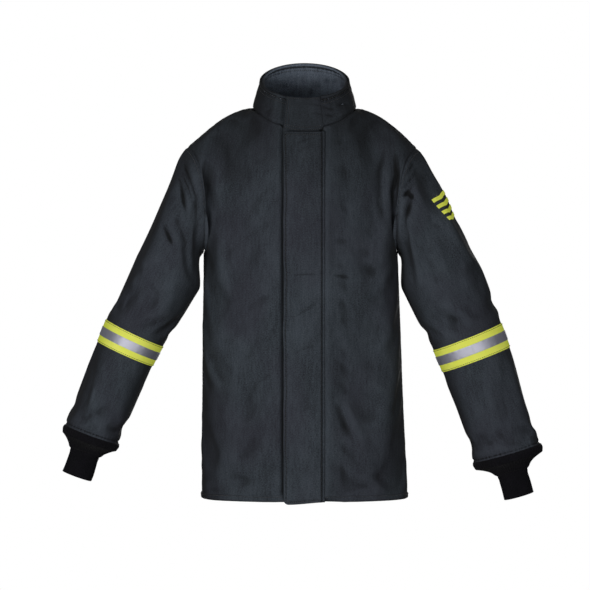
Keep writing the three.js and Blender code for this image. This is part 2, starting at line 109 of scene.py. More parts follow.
# The hanger loop's bearing face, which is the frame's origin, and the front closure's slope
SEAT = np.array([0, (HANGER.front + HANGER.back) / 2, HANGER.top - HANGER.strap])
PLACKET_ANGLE = math.atan2(HEM.front - NECK.front, NECK.front_height)


# ---- Small mathematics on arrays of points

def points(x, y, z):
    return np.stack(np.broadcast_arrays(x, y, z), -1).astype(float)


def lerp(a, b, share):
    return a + (b - a) * share


def smoothstep(x, low, high):
    t = np.clip((x - low) / (high - low), 0, 1)
    return t * t * (3 - 2 * t)


def bump(x, width):
    return np.exp(-(x / width) ** 2)


def unit(vectors):
    return vectors / np.maximum(np.linalg.norm(vectors, axis=-1, keepdims=True), 1e-12)


def hermite(start, leaving, stop, arriving, t):
    t = np.asarray(t)[..., None]
    t2, t3 = t * t, t * t * t
    return ((2 * t3 - 3 * t2 + 1) * start + (t3 - 2 * t2 + t) * leaving
            + (3 * t2 - 2 * t3) * stop + (t3 - t2) * arriving)


def in_frame(millimetres):
    return (np.asarray(millimetres, float) - SEAT) / 1000


def from_placket(local):
    """The closure's own x across, y inwards and z up the sloping front edge, as coat coordinates."""
    local = np.asarray(local, float)
    c, s = math.cos(PLACKET_ANGLE), math.sin(PLACKET_ANGLE)
    x, y, z = local[..., 0], local[..., 1], local[..., 2]
    return points(x, y * c + z * s - HEM.front, z * c - y * s)


# ---- The body's outer surface; face is 1 for the front and -1 for the back

def depth_share(across):
    return (1 - np.minimum(1, np.abs(across)) ** SQUARENESS) ** (1 / SQUARENESS)


def level_point(s, level, half_width, face):
    across = np.sin(s * math.pi / 2)
    depth = level.front if face > 0 else level.back
    return points(half_width * across, -face * depth * depth_share(across), level.height)


def top_point(s, top, face):
    across = np.sin(np.minimum(s / NECK_SHARE, 1) * math.pi / 2)
    height = NECK.front_height if face > 0 else NECK.back_height
    depth = NECK.front if face > 0 else NECK.back
    neckline = points(NECK.half_width * across, -face * depth * depth_share(across),
                      lerp(height, NECK.side_height, across ** 2))
    out = np.clip((s - NECK_SHARE) / (1 - NECK_SHARE), 0, 1)
    shoulder = points(lerp(NECK.half_width, top.half_width, out), 0,
                      lerp(NECK.side_height, top.height, out ** SHOULDER_SLOPE))
    return np.where((s <= NECK_SHARE)[..., None], neckline, shoulder)


def mixed(a, b, share):
    return lerp(np.asarray(a, float), np.asarray(b, float), np.asarray(share)[..., None])


def leaving_armpit(s, slope, face):
    out = np.clip((s - NECK_SHARE) / (1 - NECK_SHARE), 0, 1)
    return mixed(slope * 260 / ARMPIT.height, (-40, -face * 300, 50), out ** 3)


def arriving_at_top(s, face):
    middle = (0, 10.1, 254) if face > 0 else (0, -150, 190)
    neck_side = (-100, face * 130, 5)
    round_armhole = (140, face * 300, 55)
    inner = mixed(middle, neck_side, np.minimum(s / NECK_SHARE, 1) ** 2)
    outer = mixed(neck_side, round_armhole, np.clip((s - NECK_SHARE) / (1 - NECK_SHARE), 0, 1) ** 2)
    return np.where((s <= NECK_SHARE)[..., None], inner, outer)


def body_surface(wearers, face):
    def surface(s, up):
        s, up = np.broadcast_arrays(np.asarray(s, float), np.asarray(up, float))
        at_hem = level_point(s, HEM, HEM.half_width, face)
        at_armpit = level_point(s, ARMPIT, wearers.armpit, face)
        slope = at_armpit - at_hem
        above = (up - ARMPIT_SHARE) / (1 - ARMPIT_SHARE)
        low = mixed(at_hem, at_armpit, np.minimum(up / ARMPIT_SHARE, 1))
        high = hermite(at_armpit, leaving_armpit(s, slope, face), top_point(s, wearers.shoulder, face),
                       arriving_at_top(s, face), np.maximum(above, 0))
        return np.where((up <= ARMPIT_SHARE)[..., None], low, high) * (wearers.side, 1, 1)
    return surface


def back_surface(across, up):
    across, up = np.broadcast_arrays(np.asarray(across, float), np.asarray(up, float))
    left = body_surface(LEFT, -1)(np.abs(across), up)
    right = body_surface(RIGHT, -1)(np.abs(across), up)
    return np.where((across < 0)[..., None], right, left)


# ---- The sleeve's outer surface; its angle runs from the top of the shoulder forward under the arm

def armhole_point(wearers, angle):
    half_turns = angle / math.pi
    side_seam = np.ones_like(angle)
    ahead = body_surface(wearers, 1)(side_seam, lerp(1, ARMPIT_SHARE, np.minimum(half_turns, 1)))
    behind = body_surface(wearers, -1)(side_seam, lerp(ARMPIT_SHARE, 1, np.maximum(half_turns - 1, 0)))
    return np.where((half_turns <= 1)[..., None], ahead, behind)


def centreline(wearers, t):
    """Point and direction at every place along a sleeve."""
    mirror = np.array([wearers.side, 1, 1])
    a, b, c = (np.array(p) * mirror for p in (ARMHOLE_CENTRE, wearers.bend, wearers.wrist))
    t = np.asarray(t)[..., None]
    place = (1 - t) ** 2 * a + 2 * t * (1 - t) * b + t * t * c
    return place, unit(2 * (1 - t) * (b - a) + 2 * t * (c - b))


def sleeve_length(wearers):
    place, _ = centreline(wearers, np.linspace(0, 1, 200))
    return np.linalg.norm(np.diff(place, axis=0), axis=1).sum()


def tube_point(wearers, angle, t, half_width, half_depth):
    inside = np.minimum(t, 1)
    place, direction = centreline(wearers, inside)
    outward = unit(points(-direction[..., 2], 0, direction[..., 0])) * wearers.side
    return (place + direction * ((t - inside) * sleeve_length(wearers))[..., None]
            + outward * (half_width * np.cos(angle))[..., None]
            + points(0, -half_depth * np.sin(angle), 0))


def sleeve_surface(wearers):
    def surface(angle, t):
        angle, t = np.broadcast_arrays(np.asarray(angle, float), np.asarray(t, float))
        down = np.maximum(t - HEAD_END, 0) / (1 - HEAD_END)
        taper = 1 - (1 - np.minimum(down, 1)) ** 2
        tube = tube_point(wearers, angle, np.maximum(t, HEAD_END), lerp(*wearers.half_width, taper),
                          lerp(*wearers.half_depth, np.minimum(down, 1)))
        start = armhole_point(wearers, angle)
        stop = tube_point(wearers, angle, np.full_like(t, HEAD_END), wearers.half_width[0],
                          wearers.half_depth[0])
        length = np.linalg.norm(stop - start, axis=-1)[..., None]
        top = np.cos(angle)
        leaving = points(wearers.side * (0.735 - 0.215 * top), 0, -0.58 - 0.28 * top) * length
        arriving = centreline(wearers, HEAD_END)[1] * length
        head = hermite(start, leaving, stop, arriving, np.minimum(t / HEAD_END, 1))
        return np.where((t < HEAD_END)[..., None], head, tube)
    return surface


# ---- The collar's outer surface; angles are degrees from the front towards the wearer's left

def collar_surface(degrees, up):
    degrees, up = np.broadcast_arrays(np.asarray(degrees, float), np.asarray(up, float))
    across, forward = np.sin(np.radians(degrees)), np.cos(np.radians(degrees))

    def ring(size, towards_side):
        height = np.where(forward >= 0, size.front_height, size.back_height)
        return points(size.half_width * across,
                      np.where(forward >= 0, -size.front, size.back) * depth_share(across),
                      lerp(height, size.side_height, towards_side))
    return mixed(ring(NECK, across ** 2), ring(RIM, 1 - np.abs(forward)), up)


def underlap(degrees):
    """How far the right end of the collar steps in to pass under the closing tab."""
    return UNDERLAP.depth * smoothstep(degrees, UNDERLAP.step_from, UNDERLAP.step_to)


# ---- Sheets of cloth on grids

def spaced(curve, start, stop, spacing, fine=()):
    """Parameter values that stand evenly along a curve, with extras near its ends, and their distances."""
    steps = np.linspace(start, stop, 1200)
    lengths = np.linalg.norm(np.diff(curve(steps), axis=0), axis=1)
    along = np.concatenate([[0], np.cumsum(lengths)])
    marks = np.linspace(0, along[-1], max(2, round(along[-1] / spacing)) + 1)
    extra = np.array(fine)
    marks = np.unique(np.concatenate([marks, extra, along[-1] - extra]))
    return np.interp(marks, along, steps), marks


def normals_of(grid, outward, wrap=False):
    if wrap:
        along_a = np.roll(grid, -1, 0) - np.roll(grid, 1, 0)
    else:
        along_a = np.gradient(grid, axis=0)
    return unit(np.cross(along_a, np.gradient(grid, axis=1))) * outward


def edge_round(distance, half):
    """The share of its thickness that cloth keeps near an edge, so that the edge is round."""
    return np.sqrt(np.maximum(1 - (1 - np.clip(distance / half, 0, 1)) ** 2, 0.0004))


def blurred(field, passes, wrap):
    """The field smoothed along both ways of its grid."""
    for _ in range(passes):
        for axis in (0, 1):
            if axis == 0 and wrap:
                before, after = np.roll(field, 1, 0), np.roll(field, -1, 0)
            else:
                pad = [(1, 1) if i == axis else (0, 0) for i in range(field.ndim)]
                padded = np.pad(field, pad, mode="edge")
                size = field.shape[axis]
                before = np.take(padded, range(0, size), axis)
                after = np.take(padded, range(2, size + 2), axis)
            field = (before + 2 * field + after) / 4
    return field


def grid_faces(count_a, count_b, wrap, offset=0, flip=False):
    index = np.arange(count_a * count_b).reshape(count_a, count_b) + offset
    if wrap:
        index = np.concatenate([index, index[:1]])
    quads = np.stack([index[:-1, :-1], index[1:, :-1], index[1:, 1:], index[:-1, 1:]], -1).reshape(-1, 4)
    return quads[:, ::-1] if flip else quads


def tube_faces(rings, sides):
    """The quads round a run of rings of points, and the cap at each end."""
    index = np.arange(rings * sides).reshape(rings, sides)
    around = np.roll(index, -1, 1)
    walls = np.stack([index[:-1], index[1:], around[1:], around[:-1]], -1).reshape(-1, 4)
    return walls, np.stack([index[0], index[-1][::-1]])


def slab_faces(count_a, count_b, wrap=False):
    """The quads of two facing grids and of the rims between them, and the lines of points along the rims."""
    size = count_a * count_b
    faces = [grid_faces(count_a, count_b, wrap), grid_faces(count_a, count_b, wrap, size, True)]
    index = np.arange(size).reshape(count_a, count_b)
    rims = [(index[:, 0], False), (index[:, -1], True)]
    if not wrap:
        rims += [(index[0], True), (index[-1], False)]
    for line, flip in rims:
        line = np.append(line, line[0]) if wrap else line
        quads = np.stack([line[:-1], line[:-1] + size, line[1:] + size, line[1:]], -1)
        faces.append(quads[:, ::-1] if flip else quads)
    return np.concatenate(faces), [line for line, _ in rims]


def inside_out(vertices, quads):
    """Whether the quads of a closed surface face inwards."""
    corners = vertices[quads]
    volume = (np.cross(corners[:, 0], corners[:, 1]) * corners[:, 2]).sum()
    return volume + (np.cross(corners[:, 0], corners[:, 2]) * corners[:, 3]).sum() < 0


def new_object(name, vertices, faces, material, uv=None):
    """A smooth mesh object from coat coordinates in millimetres."""
    mesh = bpy.data.meshes.new(name)
    mesh.from_pydata(in_frame(vertices).tolist(), [], [list(map(int, f)) for f in faces])
    if uv is not None:
        loops = np.empty(len(mesh.loops), np.int32)
        mesh.loops.foreach_get("vertex_index", loops)
        layer = mesh.uv_layers.new(name="cloth")
        layer.data.foreach_set("uv", (np.asarray(uv, float)[loops] / 1000).astype(np.float32).ravel())
    mesh.shade_smooth()
    mesh.materials.append(material)
    made = bpy.data.objects.new(name, mesh)
    bpy.context.scene.collection.objects.link(made)
    return made


def hollow(grid, outward, wrap):
    """How far each point lies below the cloth around it, in millimetres."""
    return ((blurred(grid, 12, wrap) - grid) * outward).sum(-1)


def slab(name, outer, inner, material, wrap=False, uv=None):
    """A closed solid between two grids of points, its rim edges sharp so that the faces shade evenly."""
    faces, rims = slab_faces(*outer.shape[:2], wrap)
    vertices = np.concatenate([outer.reshape(-1, 3), inner.reshape(-1, 3)])
    if inside_out(vertices, faces):
        faces = faces[:, ::-1]
    flat = None if uv is None else np.concatenate([uv.reshape(-1, 2)] * 2)
    made = new_object(name, vertices, faces, material, flat)
    outward = unit(outer - inner)
    hollows = [hollow(outer, outward, wrap), hollow(inner, -outward, wrap)]
    # The hollow attribute is what the twill paints shade from, into creases and seams.
    layer = made.data.attributes.new("hollow", "FLOAT", "POINT")
    layer.data.foreach_set("value", np.concatenate(hollows, None).astype(np.float32))
    sharp_rims(made.data, rims, len(vertices) // 2)
    return made


def sharp_rims(mesh, lines, size):
    """The edges along the rims turn sharply, so that the cloth's faces shade evenly up to them."""
    on_rim = np.zeros(size * 2, bool)
    for line in lines:
        on_rim[line] = True
        on_rim[line + size] = True
    pairs = np.empty(len(mesh.edges) * 2, np.int32)
    mesh.edges.foreach_get("vertices", pairs)
    pairs = pairs.reshape(-1, 2)
    same_face = (pairs < size).all(1) | (pairs >= size).all(1)
    sharp = on_rim[pairs].all(1) & same_face
    layer = mesh.attributes.get("sharp_edge") or mesh.attributes.new("sharp_edge", "BOOLEAN", "EDGE")
    layer.data.foreach_set("value", sharp)


def uv_grid(marks_a, marks_b):
    return np.stack(np.meshgrid(marks_a, marks_b, indexing="ij"), -1)


class Sheet:
    """One laid-out face of cloth: its parameters, its outer points and their normals."""

    def __init__(self, a, b, outer, outward, wrap=False, marks=None):
        self.a, self.b, self.outer, self.wrap = a, b, outer, wrap
        self.normal = normals_of(outer, outward, wrap)
        self.marks = marks

    def at(self, a, b, lift=0.0):
        """Points and normals on the cloth at these parameters, lifted off it."""
        a, b = np.broadcast_arrays(np.asarray(a, float), np.asarray(b, float))
        steps_a, outer, normal = self.a, self.outer, self.normal
        if self.wrap:
            steps_a = np.append(steps_a, steps_a[0] + 2 * math.pi)
            outer = np.concatenate([outer, outer[:1]])
            normal = np.concatenate([normal, normal[:1]])
            a = np.mod(a, 2 * math.pi)
        i = np.interp(a, steps_a, np.arange(len(steps_a)))
        j = np.interp(b, self.b, np.arange(len(self.b)))
        i0 = np.clip(i.astype(int), 0, len(steps_a) - 2)
        j0 = np.clip(j.astype(int), 0, len(self.b) - 2)
        u, v = (i - i0)[..., None], (j - j0)[..., None]

        def pick(field):
            low = lerp(field[i0, j0], field[i0 + 1, j0], u)
            high = lerp(field[i0, j0 + 1], field[i0 + 1, j0 + 1], u)
            return lerp(low, high, v)
        across = unit(pick(normal))
        return pick(outer) + across * np.asarray(lift)[..., None], across


# ---- Creases, ripples and puckers, as heights along the cloth's normal

def crease(cloth, path, width, height, one_sided=False):
    """A fold that runs along a path seen from the front, and fades towards both of its ends."""
    path = np.asarray(path, float)
    x, z = cloth[..., 0], cloth[..., 2]
    starts, ends = path[:-1], path[1:]
    lengths = np.linalg.norm(ends - starts, axis=1)
    done = np.concatenate([[0], np.cumsum(lengths)])
    best = np.full(x.shape, np.inf)
    signed, along = np.zeros(x.shape), np.zeros(x.shape)
    for start, end, length, before in zip(starts, ends, lengths, done):
        direction = (end - start) / length
        dx, dz = x - start[0], z - start[1]
        share = np.clip((dx * direction[0] + dz * direction[1]) / length, 0, 1)
        off_x, off_z = dx - direction[0] * length * share, dz - direction[1] * length * share
        distance = np.hypot(off_x, off_z)
        nearer = distance < best
        side = np.sign(direction[0] * off_z - direction[1] * off_x)
        best = np.where(nearer, distance, best)
        signed = np.where(nearer, distance * side, signed)
        along = np.where(nearer, (before + share * length) / done[-1], along)
    fade = np.sin(np.clip(along, 0.02, 0.98) * math.pi) ** 0.7
    ratio = signed / width
    shape = ratio * np.exp(0.5 - 0.5 * ratio ** 2) if one_sided else np.exp(-ratio ** 2)
    return height * fade * shape


def ripples(cloth, wavelength, seed, stretch=(1, 1, 1)):
    """Smooth random waves, about -1 to 1."""
    random = np.random.default_rng(seed)
    total = np.zeros(cloth.shape[:-1])
    for _ in range(9):
        direction = unit(random.normal(size=3)) / np.array(stretch)
        pitch = wavelength * random.uniform(0.7, 1.5)
        total += np.sin(cloth @ direction * (2 * math.pi / pitch) + random.uniform(0, 2 * math.pi))
    return total / 4


def pucker(along, distance, pitch, height, seed, width=4.0):
    """Small gathers beside a row of stitches."""
    random = np.random.default_rng(seed)
    waves = [np.sin(along * 2 * math.pi / (pitch * k) + random.uniform(0, 6)) for k in (1.0, 1.37, 0.73)]
    wave = sum(waves) / 2
    return height * (wave * bump(distance, width) - 3.0 * bump(distance, 2.3))


# ---- Cloth simulation: a sheet hangs between its seams and its slack gathers into soft folds

def drape(grid, wrap, pin, slack=0.014, gravity=0.5, frames=26, step=3, cap=6.0, blur=5, pressure=0.0):
    """How far each point of the grid moves when its cloth has a little slack and hangs from the pins."""
    count_a, count_b = grid.shape[:2]
    pick_a = np.arange(0, count_a, step)
    if not wrap:
        pick_a = np.unique(np.append(pick_a, count_a - 1))
    pick_b = np.unique(np.append(np.arange(0, count_b, step), count_b - 1))
    coarse = grid[np.ix_(pick_a, pick_b)]
    faces = grid_faces(len(pick_a), len(pick_b), wrap)
    made = new_object("hanging_cloth", coarse.reshape(-1, 3), faces, None)
    group = made.vertex_groups.new(name="pin")
    for index, weight in enumerate(pin[np.ix_(pick_a, pick_b)].ravel()):
        if weight > 0.01:
            group.add([index], float(weight), "REPLACE")
    cloth = made.modifiers.new("hang", "CLOTH")
    settings = cloth.settings
    settings.quality = 5
    settings.mass = 0.3
    settings.tension_stiffness = 30
    settings.compression_stiffness = 30
    settings.shear_stiffness = 15
    settings.bending_stiffness = 4
    settings.shrink_min = -slack
    settings.vertex_group_mass = "pin"
    settings.pin_stiffness = 1
    settings.effector_weights.gravity = gravity
    if pressure:
        settings.use_pressure = True
        settings.uniform_pressure_force = pressure
    cloth.collision_settings.use_collision = False
    scene = bpy.context.scene
    cloth.point_cache.frame_start, cloth.point_cache.frame_end = 1, frames
    for frame_number in range(1, frames + 1):
        scene.frame_set(frame_number)
    hung = made.evaluated_get(bpy.context.evaluated_depsgraph_get())
    places = np.empty(len(hung.data.vertices) * 3, np.float32)
    hung.data.vertices.foreach_get("co", places)
    moved = places.reshape(coarse.shape) * 1000 + SEAT - coarse
    bpy.data.objects.remove(made)
    scene.frame_set(1)
    stops_a = np.append(pick_a, count_a) if wrap else pick_a
    moved = np.concatenate([moved, moved[:1]]) if wrap else moved
    across = np.stack([np.interp(np.arange(count_a), stops_a, row) for row in np.eye(len(stops_a))], 1)
    upward = np.stack([np.interp(np.arange(count_b), pick_b, row) for row in np.eye(len(pick_b))], 1)
    fine = np.einsum("ai,ijk,bj->abk", across, moved, upward)
    fine = blurred(fine, blur, wrap) * (1 - pin[..., None] ** 4)
    size = np.linalg.norm(fine, axis=-1, keepdims=True)
    return fine * cap / np.sqrt(cap ** 2 + size ** 2)


# ---- Materials, each made of nodes

def colour(*srgb):
    """A colour given as it looks, 0 to 255, as the linear values that nodes use."""
    share = np.array(srgb) / 255
    linear = np.where(share <= 0.04045, share / 12.92, ((share + 0.055) / 1.055) ** 2.4)
    return (*map(float, linear), 1.0)


class Shader:
    """A material's nodes, made and joined by short calls."""

    def __init__(self, name):
        self.material = bpy.data.materials.new(name)
        self.material.use_nodes = True
        self.tree = self.material.node_tree
        self.surface = self.tree.nodes["Principled BSDF"]
        coordinates = self.node("ShaderNodeTexCoord")
        self.cloth = coordinates.outputs["UV"]
        self.space = coordinates.outputs["Object"]
        self.height = self.node("ShaderNodeSeparateXYZ", {"Vector": self.space}).outputs["Z"]

    def node(self, kind, inputs=None, **settings):
        made = self.tree.nodes.new(kind)
        for key, value in settings.items():
            setattr(made, key, value)
        for key, value in (inputs or {}).items():
            self.put(made.inputs[key], value)
        return made

    def put(self, socket, value):
        if isinstance(value, bpy.types.NodeSocket):
            self.tree.links.new(value, socket)
        else:
            socket.default_value = value

    def maths(self, operation, a, b=0.0, c=0.0):
        return self.node("ShaderNodeMath", {0: a, 1: b, 2: c}, operation=operation).outputs[0]

    def scaled(self, vector, scale, turn=0.0):
        inputs = {"Vector": vector, "Scale": scale, "Rotation": (0, 0, turn)}
        return self.node("ShaderNodeMapping", inputs).outputs[0]

    def noise(self, vector, scale, detail=2.0, roughness=0.5):
        inputs = {"Vector": self.scaled(vector, scale), "Scale": 1.0, "Detail": detail,
                  "Roughness": roughness}
        return self.node("ShaderNodeTexNoise", inputs).outputs["Fac"]

    def ridges(self, vector, pitch, turn=0.0, distortion=0.0):
        """Sine ridges across the cloth, one to each pitch in metres."""
        size = 2 * math.pi / (20 * pitch)
        inputs = {"Vector": self.scaled(vector, (size, size, size), turn), "Scale": 1.0,
                  "Distortion": distortion, "Detail": 1.0}
        return self.node("ShaderNodeTexWave", inputs, wave_profile="SIN").outputs["Fac"]

    def stretch(self, value, low, high, to_low=0.0, to_high=1.0):
        inputs = {"Value": value, "From Min": low, "From Max": high, "To Min": to_low, "To Max": to_high}
        return self.node("ShaderNodeMapRange", inputs).outputs[0]

    def mix(self, share, a, b):
        made = self.node("ShaderNodeMix", data_type="RGBA")
        self.put(made.inputs[0], share)
        self.put(made.inputs[6], a)
        self.put(made.inputs[7], b)
        return made.outputs[2]

    def facing(self, blend=0.5):
        return self.node("ShaderNodeLayerWeight", {"Blend": blend}).outputs["Facing"]

    def finish(self, base, height=None, depth=0.0003, strength=1.0, **values):
        self.put(self.surface.inputs["Base Color"], base)
        for key, value in values.items():
            self.put(self.surface.inputs[key.replace("_", " ")], value)
        if height is not None:
            inputs = {"Height": height, "Distance": depth, "Strength": strength}
            self.put(self.surface.inputs["Normal"], self.node("ShaderNodeBump", inputs).outputs[0])
        return self.material


def twill(name, dark, light, shade, tint, fade):
    """Woven twill: diagonal ridges, slubs in the yarn, a drift of colour, lighter rubbed ridges, and painted
    shade in creases, towards the top (as much as fade) and where it turns away.
    """
    s = Shader(name)
    weave = s.ridges(s.cloth, 0.0013, math.radians(62), 0.6)
    warp = s.noise(s.cloth, (700, 330, 1), 3, 0.65)
    weft = s.noise(s.cloth, (300, 700, 1), 3, 0.6)
    slub = s.noise(s.cloth, (240, 36, 1), 2, 0.55)
    drift = s.noise(s.space, (7, 7, 5), 2, 0.5)
    patches = s.noise(s.space, (22, 22, 9), 3, 0.6)
    streaks = s.maths("ADD", s.stretch(warp, 0.3, 0.7, 0, 0.5), s.stretch(slub, 0.35, 0.65, 0, 0.16))
    streaks = s.maths("ADD", streaks, s.stretch(weft, 0.3, 0.7, -0.05, 0.45))
    streaks = s.maths("ADD", streaks, s.stretch(patches, 0.35, 0.65, -0.16, 0.1))
    base = s.mix(streaks, dark, light)
    base = s.mix(s.stretch(drift, 0.42, 0.62, 0, 0.4), base, tint)
    fine = s.mix(s.stretch(weave, 0, 1, 0.0, 0.25), base, dark)
    hollows = s.node("ShaderNodeAttribute", attribute_name="hollow").outputs["Fac"]
    # Raised ridges turn lighter from wear.
    wear_and_painted_shade = s.mix(s.stretch(hollows, -0.5, -1.8, 0, 0.2), fine, light)
    # Painted shade in creases and seams, where the cloth lies below its neighbours.
    wear_and_painted_shade = s.mix(s.stretch(hollows, 0.2, 1.7, 0, 0.85), wear_and_painted_shade, shade)
    # Painted shade where the cloth turns away from the camera; it is mixed in two lines below.
    edge = s.stretch(s.facing(0.5), 0.16, 0.78)
    # Painted shade towards the top of the coat, as dark as fade asks.
    wear_and_painted_shade = s.mix(s.stretch(s.height, -0.18, -0.05, 0, fade), wear_and_painted_shade, shade)
    base = s.mix(s.maths("MULTIPLY", s.maths("POWER", edge, 1.1), 0.74), wear_and_painted_shade, shade)
    height = s.maths("ADD", s.maths("MULTIPLY", weave, 0.5), s.maths("MULTIPLY", warp, 0.8))
    rough = s.stretch(warp, 0.3, 0.7, 0.82, 0.95)
    return s.finish(base, height, 0.0003, 0.5, Roughness=rough, Sheen_Weight=0.05, Sheen_Roughness=0.5,
                    Specular_IOR_Level=0.14)


def quilted_lining():
    s = Shader("lining_fabric")
    plain = s.ridges(s.cloth, 0.0011, 0.0)
    across = s.ridges(s.cloth, 0.0011, math.pi / 2)
    weave = s.maths("MULTIPLY", plain, across)
    drift = s.noise(s.space, (14, 14, 9), 3, 0.6)
    base = s.mix(drift, colour(52, 58, 74), colour(70, 77, 96))
    base = s.mix(s.stretch(weave, 0, 1, 0, 0.25), base, colour(92, 98, 116))
    return s.finish(base, weave, 0.0002, 0.4, Roughness=0.7, Sheen_Weight=0.25, Specular_IOR_Level=0.35)


def knit():
    s = Shader("rib_knit")
    loops = s.ridges(s.cloth, 0.0016, math.pi / 2, 0.4)
    fuzz = s.noise(s.space, (900, 900, 900), 3, 0.7)
    drift = s.noise(s.space, (40, 40, 30), 2, 0.5)
    base = s.mix(drift, colour(13, 13, 15), colour(23, 22, 27))
    base = s.mix(s.stretch(loops, 0.5, 1, 0, 0.4), base, colour(33, 32, 38))
    height = s.maths("ADD", loops, s.maths("MULTIPLY", fuzz, 0.7))
    return s.finish(base, height, 0.0005, 0.6, Roughness=0.95, Sheen_Weight=0.04, Specular_IOR_Level=0.08)


def high_visibility():
    s = Shader("high_visibility_tape")
    ribs = s.ridges(s.cloth, 0.0012, 0.0)
    rows = s.ridges(s.cloth, 0.0009, math.pi / 2)
    drift = s.noise(s.space, (30, 30, 20), 3, 0.6)
    base = s.mix(drift, colour(222, 226, 72), colour(246, 246, 134))
    # Painted shade: darker, greener yellow where the tape turns away from the camera.
    base = s.mix(s.stretch(s.facing(0.4), 0.35, 1.0, 0, 0.6), base, colour(196, 214, 30))
    height = s.maths("ADD", ribs, rows)
    # The emission is painted light: the tape glows a little, standing in for its fluorescence, so it stays
    # bright up to its edges.
    return s.finish(base, height, 0.0002, 0.35, Roughness=0.75, Emission_Color=colour(226, 240, 60),
                    Emission_Strength=0.2, Specular_IOR_Level=0.2)


def reflective():
    s = Shader("reflective_tape")
    beads = s.node("ShaderNodeTexVoronoi", {"Vector": s.cloth, "Scale": 1500.0}).outputs["Distance"]
    drift = s.noise(s.space, (24, 24, 12), 3, 0.6)
    fine = s.noise(s.cloth, (500, 500, 1), 2, 0.6)
    base = s.mix(drift, colour(142, 143, 156), colour(176, 177, 192))
    base = s.mix(s.stretch(fine, 0.4, 0.7, 0, 0.3), base, colour(120, 120, 134))
    # Painted reflection: the stripe turns near white where it faces the camera, as its beads throw light
    # back.
    facing = s.stretch(s.facing(0.35), 0.0, 0.28, 1.0, 0.0)
    base = s.mix(s.maths("MULTIPLY", s.maths("POWER", facing, 2.0), 0.75), base, colour(236, 236, 252))
    return s.finish(base, beads, 0.0002, 0.3, Roughness=0.55, Metallic=0.35, Specular_IOR_Level=0.4)


def webbing():
    s = Shader("webbing")
    ribs = s.ridges(s.cloth, 0.0014, 0.0)
    rows = s.ridges(s.cloth, 0.0011, math.pi / 2)
    base = s.mix(s.maths("MULTIPLY", ribs, rows), colour(20, 21, 25), colour(44, 46, 54))
    return s.finish(base, s.maths("ADD", ribs, rows), 0.0003, 0.7, Roughness=0.7, Sheen_Weight=0.2)


def touch_tape():
    """Hook-and-loop fastening tape: a dull black pile."""
    s = Shader("touch_tape")
    pile = s.noise(s.space, (1100, 1100, 1100), 4, 0.75)
    base = s.mix(pile, colour(14, 14, 17), colour(48, 49, 56))
    return s.finish(base, pile, 0.0008, 0.9, Roughness=1.0, Sheen_Weight=0.5)


def brass():
    s = Shader("zip_brass")
    wear = s.noise(s.space, (160, 160, 90), 4, 0.65)
    grain = s.noise(s.space, (1400, 1400, 1400), 2, 0.6)
    base = s.mix(s.stretch(wear, 0.35, 0.7), colour(186, 148, 78), colour(118, 92, 52))
    rough = s.stretch(wear, 0.3, 0.7, 0.26, 0.5)
    return s.finish(base, grain, 0.0001, 0.3, Metallic=1.0, Roughness=rough)


def thread():
    s = Shader("thread")
    twist = s.noise(s.space, (1500, 1500, 1500), 2, 0.5)
    base = s.mix(twist, colour(8, 8, 10), colour(22, 23, 27))
    return s.finish(base, twist, 0.0001, 0.5, Roughness=0.6, Sheen_Weight=0.3)


# The last number of a twill is how far painted shade darkens it towards the top.
SHELL_CLOTH = twill("shell_fabric", colour(27, 30, 34), colour(86, 94, 103), colour(13, 13, 12),
                    colour(56, 53, 64), 0.42)
COLLAR_CLOTH = twill("collar_fabric", colour(56, 63, 72), colour(138, 150, 166), colour(30, 31, 34),
                     colour(96, 98, 110), 0.0)
LINING_CLOTH = quilted_lining()
KNIT = knit()
LIME = high_visibility()
SILVER = reflective()
WEBBING = webbing()
TOUCH_TAPE = touch_tape()
BRASS = brass()
THREAD = thread()


# ---- How pieces follow the frame's bodies

def rides(body):
    """Where a piece goes: on one body."""
    return lambda made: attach(made, body)


def bends():
    """Where a piece that crosses a joint goes: its transform is baked into its mesh, on no body, and it does
    not turn.
    """
    return lambda made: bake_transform(made)


def sew(made, slot_name, place, *nodes):
    """Puts a piece in its place, where it stands for these nodes of the frame, which are hidden. slot_name is
    not used.
    """
    place(made)
    if nodes:
        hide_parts(*nodes)


def front_bend(wearers):
    """The front opens about a line from the hem to the side of the neck; this works out that line, but the
    piece is only baked in place and does not bend about it.
    """
    border = body_surface(wearers, 1)(np.array(NECK_SHARE), np.array([0.0, 1.0]))
    along = unit(border[1] - border[0])
    inwards = unit(np.cross(along, (0, wearers.side, 0)))
    inwards = inwards * -np.sign(inwards[0] * wearers.side)
    return bends()


def shoulder_bend(wearers):
    """The sleeve head runs from the armpit seam to the plain tube of the upper sleeve; both ends are worked
    out, but the piece is only baked in place and does not bend.
    """
    armpit = armhole_point(wearers, np.array(math.pi))
    inner = sleeve_surface(wearers)(math.pi, UPPER_END)
    return bends()


def elbow_bend(wearers):
    """The ring where the sleeve is cut above the elbow is worked out, but the piece is only baked in place
    and does not bend.
    """
    split = sleeve_surface(wearers)(np.linspace(0, 2 * math.pi, 25), UPPER_END)
    return bends()


for side in (LEFT, RIGHT):
    side.front_place = front_bend(side)
    side.head_place = shoulder_bend(side)
    side.arm_place = elbow_bend(side)


# ---- Rows of stitches, as real thread on the cloth

